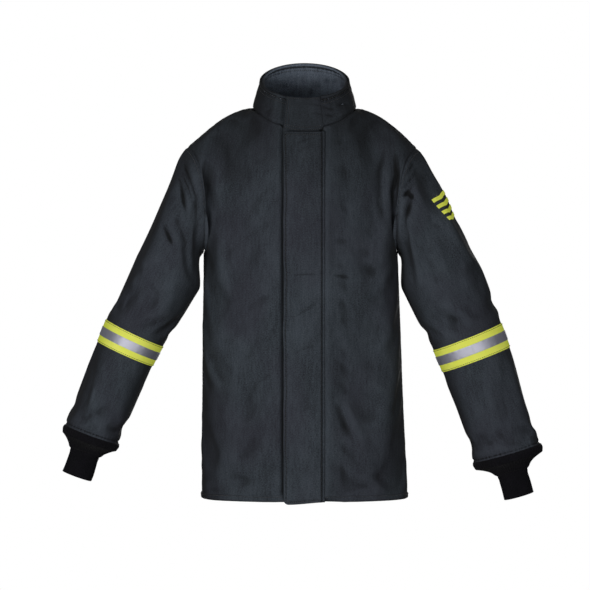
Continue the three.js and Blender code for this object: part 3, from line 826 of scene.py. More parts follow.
def thread_row(path, normal, pitch=4.2, gap=1.1, radius=0.55):
    """Short thread segments along a path: vertices and faces. Each dips into the cloth at its ends."""
    steps = np.concatenate([[0], np.cumsum(np.linalg.norm(np.diff(path, axis=0), axis=1))])
    count = int(steps[-1] // pitch)

    def at(distance, field):
        return np.stack([np.interp(distance, steps, field[:, k]) for k in range(3)], -1)
    stations = np.array([0.0, 0.18, 0.5, 0.82, 1.0])
    lifts = np.array([-0.35, 0.12, 0.3, 0.12, -0.35])
    sizes = np.array([0.35, 0.95, 1.0, 0.95, 0.35]) * radius
    starts = np.arange(count) * pitch + gap / 2
    distance = starts[:, None] + stations * (pitch - gap)
    place, out = at(distance, path), unit(at(distance, normal))
    along = unit(place[:, -1:] - place[:, :1]) * np.ones_like(place)
    aside = unit(np.cross(along, out))
    sides = 5
    turn = np.arange(sides) * 2 * math.pi / sides
    ring = (aside[:, :, None] * np.cos(turn)[:, None] + out[:, :, None] * np.sin(turn)[:, None])
    vertices = place[:, :, None] + out[:, :, None] * lifts[:, None, None] + ring * sizes[:, None, None]
    walls, caps = tube_faces(len(stations), sides)
    offsets = (np.arange(count) * len(stations) * sides)[:, None, None]
    walls = (walls[:, ::-1] + offsets).reshape(-1, 4)
    caps = (caps[:, ::-1] + offsets).reshape(-1, sides)
    return vertices.reshape(-1, 3), walls.tolist() + caps.tolist()


def joined(pieces):
    """Several pieces, each (vertices, faces), as the vertices and faces of one."""
    all_faces, offset = [], 0
    for vertices, faces in pieces:
        all_faces += [[v + offset for v in face] for face in faces]
        offset += len(vertices)
    return np.concatenate([vertices for vertices, _ in pieces]), all_faces


def stitches(name, rows, place):
    """One object of several rows of stitches. Each row is (points, normals)."""
    vertices, faces = joined([thread_row(path, normal) for path, normal in rows])
    sew(new_object(name, vertices, faces, THREAD), "shell_fabric", place)


def along_b(sheet, a, b_values, lift=0.15):
    return sheet.at(np.full(len(b_values), float(a)), b_values, lift)


def along_a(sheet, a_values, b, lift=0.15):
    return sheet.at(a_values, np.full(len(a_values), float(b)), lift)


def sweep(name, rings, material):
    """A solid whose cross-section runs along a path: rings of points, closed by a cap at each end."""
    vertices = rings.reshape(-1, 3)
    walls, caps = tube_faces(*rings.shape[:2])
    faces = walls.tolist() + caps.tolist()
    if inside_out(vertices, walls):
        faces = [face[::-1] for face in faces]
    girth = np.concatenate([[0], np.cumsum(np.linalg.norm(np.diff(rings[0], axis=0), axis=1))])
    run = np.concatenate([[0], np.cumsum(np.linalg.norm(np.diff(rings[:, 0], axis=0), axis=1))])
    return new_object(name, vertices, faces, material, uv_grid(run, girth).reshape(-1, 2))


# ---- The body's panels

PLAIN_NEAR_CLOSURE = (46, 86)    # where the front starts to move freely, from the middle of the coat

CHEST_FOLDS = {
    # side: [(path as seen from the front, width, height, one-sided)]
    1: [
        ([(182, 712), (186, 662), (180, 627), (183, 577), (186, 520)], 5.0, -4.2, False),
        ([(166, 722), (153, 668), (155, 600), (160, 560)], 8, -3.2, False),
        ([(172, 700), (170, 650), (169, 600)], 7, 2.2, False),
        ([(150, 590), (140, 520), (146, 430), (150, 330)], 16, 3.2, True),
        ([(64, 214), (90, 160), (121, 92)], 11, 2.8, True),
        ([(150, 330), (140, 220), (150, 90)], 20, 2.6, True),
        ([(60, 640), (72, 540), (66, 420)], 26, 1.8, True),
        ([(42, 461), (62, 459), (96, 452)], 4, -1.5, False),
    ],
    -1: [
        ([(-206, 716), (-208, 668), (-204, 600), (-198, 540)], 5.5, -4.2, False),
        ([(-182, 700), (-186, 640), (-180, 580)], 9, 3.0, True),
        ([(-176, 585), (-184, 520), (-182, 440)], 13, 3.0, True),
        ([(-150, 350), (-160, 240), (-156, 120)], 20, 2.6, True),
        ([(-70, 620), (-84, 500), (-76, 380)], 26, 2.0, True),
        ([(-100, 260), (-92, 170), (-104, 70)], 20, 2.0, True),
    ],
}


def quilting(marks_a, marks_b, pitch=52):
    """Diamond quilting: how far the cloth stands out between two crossing sets of stitched lines."""
    u, v = np.meshgrid(marks_a, marks_b, indexing="ij")
    distances = [np.abs(np.mod(u + sign * v, pitch) - pitch / 2) / math.sqrt(2) for sign in (1, -1)]
    puff = np.prod([1 - bump(d, pitch * 0.17) for d in distances], axis=0)
    lines = np.maximum(bump(distances[0], 2.6), bump(distances[1], 2.6))
    return 1.5 * puff - 0.9 * lines


def folded(cloth, folds):
    """The height of all these folds together. Each is (path, width, height, one-sided)."""
    return sum(crease(cloth, *fold) for fold in folds)


def softened(base, s, held):
    """The panel without the ridge that runs down from where its neckline meets its shoulder seam."""
    near = bump(np.abs(s)[:, None] - NECK_SHARE, 0.17) * (1 - held) * smoothstep(base[..., 2], 330, 520)
    return lerp(base, blurred(base, 70, False), near[..., None])


def layered(grid, outward, height, depths, rounding, wrap=False):
    """Outer and inner points of a layer of cloth between two depths below a grid."""
    normal = normals_of(grid, outward, wrap)
    middle = (depths[0] + depths[1]) / 2
    half = (depths[1] - depths[0]) / 2
    centre = grid + normal * (height - middle)[..., None]
    reach = normal * (half * rounding)[..., None]
    return centre + reach, centre - reach


def front_panel(wearers):
    surface = body_surface(wearers, 1)
    edge = math.asin(wearers.front_edge / wearers.armpit) * 2 / math.pi
    s, s_marks = spaced(lambda v: surface(v, LOW_ROW), edge, 1.0, SPACING, FINE_EDGE)
    up, up_marks = spaced(lambda v: surface(INNER_COLUMN, v), 0.0, 1.0, SPACING)
    base = surface(s[:, None], up[None])
    to_side = (s_marks[-1] - s_marks)[:, None]
    to_top = (up_marks[-1] - up_marks)[None]
    across = np.abs(base[..., 0])
    free = smoothstep(across, *PLAIN_NEAR_CLOSURE)
    held = np.maximum(1 - smoothstep(to_side, 2, 26), 1 - smoothstep(to_top, 2, 26))
    held = np.maximum(held, 1 - free)
    base = softened(base, s, np.maximum(1 - smoothstep(to_side, 2, 26), 1 - smoothstep(to_top, 2, 30)))
    held = np.maximum(held, 0.75 * (1 - smoothstep(up_marks[None], 2, 20)))
    base = base + drape(base, False, held, slack=0.016, cap=5)
    height = ripples(base, 210, 11 + wearers.side, (1, 1, 2.6)) * 1.6 * free
    height += ripples(base, 75, 21 + wearers.side, (1, 1, 2.2)) * 0.5 * free
    if wearers is LEFT:
        rise = smoothstep(across, FLAP.seam + 1.2, FLAP.seam + 3.4) - smoothstep(across, FLAP.seam + 4, 84)
        height += 9.4 * rise * smoothstep(base[..., 2], -4, 10)
    else:
        height -= 2.6 * bump(across + FLAP.free - 2.5, 3.2) * smoothstep(base[..., 2], 4, 20)
    clear = smoothstep(to_side, 2, 12) * smoothstep(across, 40, 62)
    height += folded(base, CHEST_FOLDS[wearers.side]) * clear
    height += pucker(up_marks[None], to_side, 9, 0.5, 5, 6) - 1.0 * bump(to_side, 3.2)
    height += pucker(s_marks[:, None], to_top, 9, 0.45, 6, 6) - 1.1 * bump(to_top, 3.5)
    height = np.maximum(height, -4.2)
    rounding = edge_round(s_marks, 1.2)[:, None] * np.ones_like(height)
    outer, inner = layered(base, wearers.side, height, (0, SHELL_THICKNESS), rounding)
    name = wearers.name
    panel = slab(f"{name}_front_panel", outer, inner, SHELL_CLOTH, uv=uv_grid(s_marks, up_marks))
    sew(panel, "shell_fabric", wearers.front_place, f"{name}_front_shell", f"{name}_side_front_shell")
    return Sheet(s, up, outer, wearers.side, marks=(s_marks, up_marks))


YOKE_UP = 640                      # how far up the back the yoke seam runs
BACK_FOLDS = [
    ([(-120, 610), (-100, 500), (-110, 380)], 22, 2.4, True),
    ([(115, 620), (96, 520), (104, 400)], 22, 2.4, True),
    ([(-60, 300), (-20, 250), (40, 235)], 24, 1.8, True),
    ([(-170, 560), (-140, 480), (-60, 430)], 18, 2.2, True),
    ([(170, 560), (140, 470), (70, 410)], 18, 2.2, True),
    ([(30, 330), (42, 200), (36, 70)], 26, 2.0, True),
]


def back_panel():
    across, marks = spaced(lambda v: back_surface(v, LOW_ROW), -1.0, 1.0, SPACING + 0.6, FINE_EDGE)
    up, up_marks = spaced(lambda v: back_surface(INNER_COLUMN, v), 0.0, 1.0, SPACING + 0.6)
    base = back_surface(across[:, None], up[None])
    to_side = np.minimum(marks - marks[0], marks[-1] - marks)[:, None]
    to_top = (up_marks[-1] - up_marks)[None]
    held = np.maximum(1 - smoothstep(to_side, 2, 26), 1 - smoothstep(to_top, 2, 26))
    base = softened(base, across, held)
    held = np.maximum(held, 0.75 * (1 - smoothstep(up_marks[None], 2, 20)))
    base = base + drape(base, False, held, slack=0.02, cap=7)
    height = ripples(base, 230, 31, (1, 1, 2.4)) * 2.0 + ripples(base, 80, 33, (1, 1, 2)) * 0.5
    height *= smoothstep(to_side, 0, 30)
    height += folded(base, BACK_FOLDS) * smoothstep(to_side, 2, 12)
    height += pucker(up_marks[None], to_side, 9, 0.5, 7, 6) - 1.0 * bump(to_side, 3.2)
    height += pucker(marks[:, None], to_top, 9, 0.45, 8, 6) - 1.1 * bump(to_top, 3.5)
    yoke = np.abs(up_marks[None] - YOKE_UP)
    height += pucker(marks[:, None], yoke, 10, 0.4, 9, 6) - 0.8 * bump(yoke, 1.8)
    height += 0.9 * smoothstep(up_marks[None], YOKE_UP, YOKE_UP + 3) * np.ones_like(height)
    height = np.maximum(height, -4.5)
    outer, inner = layered(base, -1, height, (0, SHELL_THICKNESS), np.ones_like(height))
    panel = slab("back_panel", outer, inner, SHELL_CLOTH, uv=uv_grid(marks, up_marks))
    sew(panel, "shell_fabric", rides("coat_body"), "back_shell")
    sheet = Sheet(across, up, outer, -1, marks=(marks, up_marks))
    row = np.interp([YOKE_UP + 3.2, YOKE_UP + 9.0], up_marks, up)
    steps = np.linspace(-0.985, 0.985, 260)
    stitches("back_yoke_stitches", [along_a(sheet, steps, v) for v in row], rides("coat_body"))
    return sheet


def cut_away(s, up):
    """The liner stops short of the armhole, where the sleeve's lining takes over."""
    flank = np.maximum(0, np.abs(s) - NECK_SHARE)
    return s - np.sign(s) * flank * 0.5 * smoothstep(up, 0.1, 0.22)


def lining_faces(base, outward, depths, relief, marks_a, marks_b, wrap=False):
    """The lining's face towards the shell, and its quilted face towards the wearer."""
    edges = edge_round(marks_b[-1] - marks_b, 1.2)[None] * np.ones_like(relief)
    if not wrap:
        edges = edges * edge_round(np.minimum(marks_a, marks_a[-1] - marks_a), 1.2)[:, None]
    middle = sum(depths) / 2
    normal = normals_of(base, outward, wrap)
    outer = base - normal * lerp(middle, depths[0], edges)[..., None]
    inner = base - normal * lerp(middle, depths[1] + relief, edges)[..., None]
    return outer, inner


FACING_WIDTH = 62                  # the strip of shell cloth inside each front edge


def front_liner(wearers, shell):
    """The front's quilted liner, with a plain facing of shell cloth along its edge."""
    surface = body_surface(wearers, 1)
    edge = math.asin((wearers.front_edge + 3) / wearers.armpit) * 2 / math.pi
    s, s_marks = spaced(lambda v: surface(v, LOW_ROW), edge, 0.985, LINER_SPACING, FINE_EDGE)
    up, up_marks = spaced(lambda v: surface(INNER_COLUMN, v), 0.0, 0.984, LINER_SPACING, FINE_EDGE)
    grid_s, grid_up = np.meshgrid(s, up, indexing="ij")
    base, _ = shell.at(cut_away(grid_s, grid_up), grid_up)
    facing = smoothstep(s_marks, FACING_WIDTH, FACING_WIDTH + 4)[:, None]
    relief = quilting(s_marks, up_marks) * facing - 0.9 * bump(s_marks - FACING_WIDTH, 2.2)[:, None]
    name = wearers.name
    outer, inner = lining_faces(base, wearers.side, LINER_LAYER, relief, s_marks, up_marks)
    made = slab(f"{name}_front_lining", outer, inner, LINING_CLOTH, uv=uv_grid(s_marks, up_marks))
    made.data.materials.append(SHELL_CLOTH)
    rows = len(up) - 1
    columns = np.tile(np.repeat(np.arange(len(s) - 1), rows), 2)
    index = np.zeros(len(made.data.polygons), np.int32)
    index[:len(columns)] = (s_marks[:-1] < FACING_WIDTH)[columns]
    made.data.polygons.foreach_set("material_index", index)
    sew(made, "lining_fabric", wearers.front_place, f"{name}_front_liner", f"{name}_side_front_liner")


def back_liner(shell):
    across, marks = spaced(lambda v: back_surface(v, LOW_ROW), -0.985, 0.985, LINER_SPACING, FINE_EDGE)
    up, up_marks = spaced(lambda v: back_surface(INNER_COLUMN, v), 0.0, 0.984, LINER_SPACING, FINE_EDGE)
    grid_s, grid_up = np.meshgrid(across, up, indexing="ij")
    base, _ = shell.at(cut_away(grid_s, grid_up), grid_up)
    outer, inner = lining_faces(base, -1, LINER_LAYER, quilting(marks, up_marks), marks, up_marks)
    made = slab("back_lining", outer, inner, LINING_CLOTH, uv=uv_grid(marks, up_marks))
    sew(made, "lining_fabric", rides("coat_body"), "back_liner")


# The hem's cross-section: (depth below the shell's outer surface, height above the bottom edge)
HEM_PROFILE = [(0.3, 11.2), (-0.9, 10.6), (-1.6, 9.0), (-1.9, 5.5), (-1.7, 2.0), (-0.8, -0.2), (1.5, -1.5),
               (4.5, -1.9), (7.5, -1.4), (9.4, 0.2), (10.0, 3.0), (10.0, 7.0), (9.6, 10.0), (8.8, 11.0),
               (8.2, 10.0), (7.6, 1.5), (4.0, 0.8), (1.2, 1.5), (0.6, 9.0)]


HEM_STITCH_HEIGHT = 8.2


def hem(name, sheet, place, node):
    """A turned and stitched hem that closes the shell and its lining along the bottom."""
    profile = np.array(HEM_PROFILE)
    depth, height = profile[:, 0], profile[:, 1]
    up = np.maximum(height, 0) / ARMPIT.height * ARMPIT_SHARE
    run = sheet.marks[0]
    wobble = 0.35 * np.sin(run / 6.3) + 0.3 * np.sin(run / 10.7 + 1)
    lift = -depth[None] + wobble[:, None] * (depth < 0)[None]
    rings, _ = sheet.at(sheet.a[:, None], up[None], lift)
    rings[..., 2] += np.minimum(height, 0)[None]
    sew(sweep(f"{name}_hem", rings, SHELL_CLOTH), "shell_fabric", place, node)
    row = HEM_STITCH_HEIGHT / ARMPIT.height * ARMPIT_SHARE
    stitches(f"{name}_hem_stitches", [along_a(sheet, sheet.a, row, 1.75)], place)


# ---- The collar and its tab

RIM_STITCHES = (7.5, 14.5)         # how far below the rim the topstitching runs
COLLAR_FOLDS = [
    ([(30, 804), (49, 797), (66, 794)], 3.4, -2.6, False),
    ([(38, 786), (56, 782), (76, 787)], 3.4, -2.8, False),
    ([(62, 802), (80, 806), (96, 801)], 4.0, -2.4, False),
    ([(60, 775), (80, 780), (98, 792)], 5.0, 2.0, True),
    ([(-62, 800), (-78, 790), (-92, 794)], 4.5, -2.2, False),
    ([(-56, 776), (-74, 778), (-92, 786)], 5.0, 2.0, True),
]
TAB_STITCHES = (3.2, 9.0)          # how far inside the tab's edges its two rows run
TAB_FOLDS = [
    ([(0, 806), (16, 807), (34, 803), (44, 799)], 2.8, -1.7, False),
    ([(12, 789), (28, 787), (44, 783)], 2.8, -1.5, False),
    ([(-28, 800), (-10, 796), (8, 797)], 7, 1.2, True),
    ([(-20, 770), (0, 764), (24, 768)], 6, 1.2, True),
]


def collar_sheet(start, stop, depths, shift, seed, outside):
    """The two faces of one layer of the collar, with a stitched rim."""
    degrees, marks = spaced(lambda v: collar_surface(v, 0.9), start, stop, 2.2, FINE_EDGE)
    up, up_marks = spaced(lambda v: collar_surface((start + stop) / 2, v), 0.0, 1.0, 2.2, FINE_EDGE)
    base = collar_surface(degrees[:, None], up[None])
    to_rim = up_marks[-1] - up_marks
    inset = 0 if shift is None else shift(degrees)[:, None]
    puff = np.sin(np.clip(to_rim / up_marks[-1], 0, 1) * math.pi)[None]
    wrinkle = ripples(base, 46, seed, (1, 1, 0.6)) * 0.8 + ripples(base, 22, seed + 1, (1, 1, 0.5)) * 0.35
    wrinkle = wrinkle + folded(base, COLLAR_FOLDS) * (base[..., 1] < 0)
    relief = 0.5 * puff + wrinkle * puff
    relief = relief + 1.9 * bump(to_rim - 3.4, 2.8)[None]
    for row, depth in zip(RIM_STITCHES, (0.9, 0.3)):
        relief = relief + pucker(marks[:, None], np.abs(to_rim - row)[None], 7, depth, seed, 4)
    relief = relief - 2.2 * bump(up_marks, 3.0)[None]
    rounding = edge_round(to_rim, 1.6)[None] * np.ones_like(relief)
    half = (depths[1] - depths[0]) / 2
    if outside:
        outer, inner = layered(base, 1, relief - inset, depths, rounding)
    else:
        normal = normals_of(base, 1)
        middle = sum(depths) / 2 + inset
        outer = base - normal * (middle - half * rounding)[..., None]
        inner = base - normal * (middle + (half + 1.7 * relief) * rounding)[..., None]
    return degrees, up, marks, up_marks, outer, inner


def collar_section(name, start, stop, place, shift=None, seed=41):
    """One part of the collar: its shell, its facing on the neck's side and their topstitching."""
    stitched = []
    for outside, depths, cloth, slot_name, suffix, node in (
            (True, COLLAR_SHELL, SHELL_CLOTH, "shell_fabric", "", name),
            (False, COLLAR_LINING, COLLAR_CLOTH, "lining_fabric", "_facing", f"{name}_lining")):
        found = collar_sheet(start, stop, depths, shift, seed if outside else seed + 7, outside)
        degrees, up, marks, up_marks, outer, inner = found
        made = slab(name + suffix, outer, inner, cloth, uv=uv_grid(marks, up_marks))
        sew(made, slot_name, place, node)
        sheet = Sheet(degrees, up, outer if outside else inner, 1 if outside else -1)
        steps = np.linspace(degrees[2], degrees[-3], len(degrees) * 2)
        for row in RIM_STITCHES:
            height = np.interp(up_marks[-1] - row, up_marks, up)
            stitched.append(along_a(sheet, steps, height))
    stitches(f"{name}_stitches", stitched, place)


def collar():
    collar_section("collar_back", 90, 270, rides("coat_body"))
    collar_section("left_collar_end", TAB.seam + 0.5, 90, LEFT.front_place, seed=51)
    collar_section("right_collar_end", -90, UNDERLAP.end, RIGHT.front_place, underlap, seed=61)


def collar_tab():
    degrees, marks = spaced(lambda v: collar_surface(v, 0.5), TAB.free, TAB.seam + 0.3, 1.8, FINE_EDGE)
    up, up_marks = spaced(lambda v: collar_surface(0, v), -0.05, 0.985, 1.8, FINE_EDGE)
    base = collar_surface(degrees[:, None], up[None])
    u, v = marks[:, None], up_marks[None]
    to_free, to_seam = u, marks[-1] - u
    to_end = np.minimum(v, up_marks[-1] - v)
    puff = np.sin(np.clip(u / marks[-1], 0, 1) * math.pi) * np.sin(np.clip(v / up_marks[-1], 0, 1) * math.pi)
    wrinkle = ripples(base, 40, 71, (1.6, 1, 0.5)) * 0.5 * smoothstep(u, 8, marks[-1] * 0.7)
    relief = 0.9 * puff ** 0.5 + wrinkle * puff ** 0.4
    border = np.minimum(to_free, to_end)
    relief = relief + folded(base, TAB_FOLDS)
    edge_row, inner_row = TAB_STITCHES
    for row, depth in ((edge_row, 0.55), (inner_row, 0.3)):
        relief = relief + pucker(u + v, np.abs(border - row), 6.5, depth, 72, 3)
    relief = relief - 0.6 * smoothstep(-to_seam, -4, 0)
    rounding = edge_round(to_free, 2.8) * edge_round(to_end, 2.8)
    outer, inner = layered(base, 1, np.zeros_like(relief), (0, TAB.depth), rounding)
    outer = outer + normals_of(base, 1) * (relief * rounding)[..., None]
    made = slab("collar_tab", outer, inner, SHELL_CLOTH, uv=uv_grid(marks, up_marks))
    sew(made, "shell_fabric", rides("collar_tab"), "collar_tab")
    sheet = Sheet(degrees, up, outer, 1)

    def at_marks(a_marks, b_marks):
        a, b = np.broadcast_arrays(np.asarray(a_marks, float), np.asarray(b_marks, float))
        return sheet.at(np.interp(a, marks, degrees), np.interp(b, up_marks, up), 0.1)
    across_steps = np.linspace(2.6, marks[-1] - 3, 60)
    rows = [at_marks(edge_row, np.linspace(2.6, up_marks[-1] - 2.6, 80)),
            at_marks(inner_row, np.linspace(inner_row, up_marks[-1] - inner_row, 70))]
    rows += [at_marks(across_steps, height) for height in (edge_row, inner_row, up_marks[-1] - edge_row)]
    stitches("collar_tab_stitches", rows, rides("collar_tab"))


def touch_patch(name, body, depths):
    """A piece of fastening tape on the collar."""
    start, stop, wall = TAB_PATCH.start, TAB_PATCH.stop, TAB_PATCH.wall
    degrees, marks = spaced(lambda v: collar_surface(v, 0.5), start, stop, 1.3, (0.3, 0.7))
    up, up_marks = spaced(lambda v: collar_surface(start, v), *wall, 1.3, (0.3, 0.7))
    base = collar_surface(degrees[:, None], up[None])
    border = np.minimum(np.minimum(marks, marks[-1] - marks)[:, None],
                        np.minimum(up_marks, up_marks[-1] - up_marks)[None])
    pile = np.random.default_rng(81).uniform(-0.25, 0.25, border.shape) * (border > 1.5)
    outer, inner = layered(base, 1, 0 * border, depths, edge_round(border, 0.6))
    normal = normals_of(base, 1)
    outer, inner = outer + normal * pile[..., None], inner - normal * pile[..., None]
    made = slab(name, outer, inner, TOUCH_TAPE, uv=uv_grid(marks, up_marks))
    sew(made, "webbing", rides(body), f"{name}_patch")


# ---- The front closure, laid out in the placket's own plane

def flat_sheet(name, x, z, depths, relief, border, material, radius):
    """A padded strip between two depths, over a grid of x and z, with round edges; and its front's points."""
    middle, half = sum(depths) / 2, (depths[1] - depths[0]) / 2
    rounding = edge_round(border, radius)
    front = from_placket(points(x, middle - half * rounding - relief * rounding, z))
    behind = from_placket(points(x, middle + half * rounding, z))
    across = np.concatenate([[0], np.cumsum(np.abs(np.diff(x[:, -1])))])
    upward = z[0] - z[0, 0]
    return slab(name, front, behind, material, uv=uv_grid(across, upward)), front


def marked(start, stop, spacing, fine=FINE_EDGE):
    """Evenly spaced values, with extra ones near both ends."""
    values = np.linspace(start, stop, max(2, round((stop - start) / spacing)) + 1)
    extra = np.array(fine)
    return np.unique(np.concatenate([values, start + extra, stop - extra]))


def flap_outline(x):
    """The flap's bottom edge: a round free corner, then a gentle rise to the seam."""
    from_corner = np.maximum(FLAP.free + FLAP.corner - x, 0)
    arc = FLAP.corner - np.sqrt(np.maximum(FLAP.corner ** 2 - from_corner ** 2, 0))
    return FLAP.bottom + arc + 5 * smoothstep(x, FLAP.free + FLAP.corner, FLAP.seam + 10)


FLAP_STITCH, SEAM_STITCH = 5.2, 1.6    # how far inside the flap's free edges and its seam its rows run
FLAP_FOLDS = [
    ([(20, 741), (0, 734), (-22, 724)], 4.5, -1.6, False),
    ([(32, 726), (8, 712), (-14, 700)], 11, 2.0, True),
    ([(-30, 459), (0, 461), (33, 461)], 3.4, -1.5, False),
    ([(-26, 378), (0, 392), (28, 412)], 5, 1.2, True),
    ([(-30, 300), (-4, 316), (30, 322)], 6, 1.0, True),
    ([(-32, 200), (-6, 190), (28, 206)], 7, 1.0, True),
]


def storm_flap():
    """The padded flap over the zip, stitched round its edges."""
    x_marks = marked(FLAP.free, FLAP.seam, 2.4)
    share = marked(0, FLAP.top - FLAP.bottom, 2.6) / (FLAP.top - FLAP.bottom)
    x = x_marks[:, None] * np.ones_like(share)[None]
    z = lerp(flap_outline(x), FLAP.top, share[None])
    to_free, to_seam = x - FLAP.free, FLAP.seam - x
    to_end = np.minimum(z - flap_outline(x), FLAP.top - z)
    border = np.minimum(to_free, to_end)
    place = points(x, 0 * x, z)
    relief = 0.9 * np.sin(np.clip((x - FLAP.free) / (FLAP.seam - FLAP.free), 0, 1) * math.pi) ** 0.6
    relief = relief + ripples(place, 120, 91, (1, 1, 3)) * 0.55 + ripples(place, 34, 92, (1, 1, 1.4)) * 0.22
    relief = relief + folded(place, FLAP_FOLDS)
    relief = relief + pucker(z + to_free, np.abs(border - FLAP_STITCH), 7.5, 0.62, 93, 4)
    relief = relief + pucker(z, to_seam, 8.5, 0.8, 95, 7) - 1.6 * bump(to_seam, 2.2)
    wobble = 0.7 * np.sin(z / 31) + 0.45 * np.sin(z / 12.3 + 2)
    x = x + wobble * smoothstep(to_seam, 10, 60)
    depths = (FLAP.outside, FLAP.inside)
    made, front = flat_sheet("storm_flap", x, z, depths, relief, border, SHELL_CLOTH, 2.6)
    sew(made, "shell_fabric", rides("storm_flap"), "storm_flap_panel", "storm_flap_facing")
    sheet = Sheet(x_marks, share, front, 1)
    steps = np.linspace(0.006, 0.994, 420)
    rows = [along_b(sheet, column, steps) for column in (FLAP.free + FLAP_STITCH, FLAP.seam - SEAM_STITCH)]
    across = np.linspace(FLAP.free + 6, FLAP.seam - 3, 60)
    end = FLAP_STITCH / (FLAP.top - FLAP.bottom)
    rows += [along_a(sheet, across, row) for row in (end, 1 - end)]
    stitches("storm_flap_stitches", rows, rides("storm_flap"))


# The welt's cross-section: (from the flap's seam, depth, how far it follows the gathers)
WELT_PROFILE = [(0.2, -9.2, 0.2), (0.9, -9.9, 0.6), (2.0, -10.2, 1), (3.2, -10.1, 1), (4.4, -9.6, 1),
                (5.4, -8.4, 0.5), (5.4, -5, 0), (4.8, 0.2, 0), (3.5, 1.4, 0), (1.6, 1.6, 0), (0.4, 1.4, 0),
                (0.1, -4, 0)]


def flap_welt():
    """The folded seam that carries the flap on the left front."""
    z = marked(FLAP.bottom + 5, FLAP.top + 2, 2.8)
    gather = 0.35 * np.sin(z / 1.9) + 0.3 * np.sin(z / 3.1 + 1)
    profile = np.array(WELT_PROFILE) + (FLAP.seam, 0, 0)
    out = profile[:, 2]
    ends = edge_round(np.minimum(z - z[0], z[-1] - z), 5)[:, None]
    x = profile[None, :, 0] + (gather[:, None] * 0.6 - 3 * (1 - ends)) * out
    y = profile[None, :, 1] - gather[:, None] * 0.5 * out + 5 * (1 - ends) * out
    rings = from_placket(points(x, y, z[:, None]))
    sew(sweep("flap_seam_welt", rings, SHELL_CLOTH), "shell_fabric", rides("left_front"))


def fastening_strips():
    """The hook-and-loop strips that close the flap."""
    x, z = np.meshgrid(marked(STRIP.start, STRIP.stop, 1.6, (0.3, 0.8)),
                       marked(STRIP.bottom, STRIP.top, 3.0, (0.3, 0.8)), indexing="ij")
    to_sides = np.minimum(x - STRIP.start, STRIP.stop - x)
    border = np.minimum(to_sides, np.minimum(z - STRIP.bottom, STRIP.top - z))
    random = np.random.default_rng(101)
    for name, body, depths in (("flap_loop", "storm_flap", (-5.7, -3.0)),
                               ("front_hook", "right_front", (-2.6, -0.4))):
        pile = random.uniform(-0.2, 0.3, border.shape) * (border > 1.8)
        made, _ = flat_sheet(f"{name}_tape", x, z, depths, pile, border, TOUCH_TAPE, 0.7)
        sew(made, "webbing", rides(body), f"{name}_strip")


def zip_tape(wearers, bottom, top):
    """Woven tape with a corded edge beside the teeth."""
    inner_edge, outer_edge = 1.4, 13
    out = marked(inner_edge, outer_edge, 1.4, (0.2, 0.6))
    z_marks = marked(bottom, top, 4, (0.3, 0.8))
    across, z = np.meshgrid(out, z_marks, indexing="ij")
    x = ZIP.middle + wearers.side * across
    cord = 0.75 * bump(across - 2.9, 1.1)
    border = np.minimum(across - inner_edge, np.minimum(outer_edge - across, np.minimum(z - bottom, top - z)))
    name = f"{wearers.name}_zip_tape"
    made, _ = flat_sheet(name, x, z, (3.3, 4.1), cord, border, WEBBING, 0.4)
    sew(made, "webbing", rides(wearers.body), name)


TOOTH_PITCH = 2.5
# Along a tooth from its root: how far out, half its height, and its depths in front and behind
TOOTH_STATIONS = [(4.4, 0.5, -0.1, 2.5), (3.9, 0.8, -0.45, 2.9), (1.9, 0.8, -0.5, 2.95),
                  (1.2, 0.55, -0.3, 2.75), (0.2, 0.55, -0.1, 2.5), (-0.35, 0.46, 0.1, 2.3)]
# Round a tooth: shares of its half height and of its depth
TOOTH_CORNERS = [(-0.6, 0.0), (0.6, 0.0), (1, 0.12), (1, 0.88), (0.6, 1), (-0.6, 1), (-1, 0.88), (-1, 0.12)]


def zip_teeth(wearers):
    """A row of cast teeth, each a block with a nib that reaches between its neighbours."""
    count = int((ZIP.top - ZIP.bottom) / TOOTH_PITCH)
    start = ZIP.bottom + (0.25 if wearers is RIGHT else 1.5) + 0.3 * TOOTH_PITCH
    out, half_height, front, behind = np.array(TOOTH_STATIONS).T[..., None]
    around, inwards = np.array(TOOTH_CORNERS).T
    tooth = points(ZIP.middle + wearers.side * out, lerp(front, behind, inwards), half_height * around)
    walls, caps = tube_faces(*tooth.shape[:2])
    if wearers is LEFT:
        walls = walls[:, ::-1]
    else:
        caps = caps[:, ::-1]
    faces = walls.tolist() + caps.tolist()
    row = [((tooth + (0, 0, start + k * TOOTH_PITCH)).reshape(-1, 3), faces) for k in range(count)]
    vertices, faces = joined(row)
    made = new_object(f"{wearers.name}_zip_teeth_row", from_placket(vertices), faces, BRASS)
    made.data.shade_flat()
    sew(made, "zip_brass", rides(wearers.body), f"{wearers.name}_zip_teeth")


def zip_hardware():
    """The CAD's slider, pull and end stops stay, with eased edges and brass rubbed in patches."""
    for node in ("zip_slider", "zip_pull", "zip_retainer_box", "zip_insertion_pin", "zip_top_stop"):
        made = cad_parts[node]
        bevel = made.modifiers.new("eased edges", "BEVEL")
        bevel.width = 0.00035
        bevel.segments = 3
        bevel.limit_method = "ANGLE"
        bevel.angle_limit = math.radians(30)
        made.data.materials.clear()
        made.data.materials.append(BRASS)


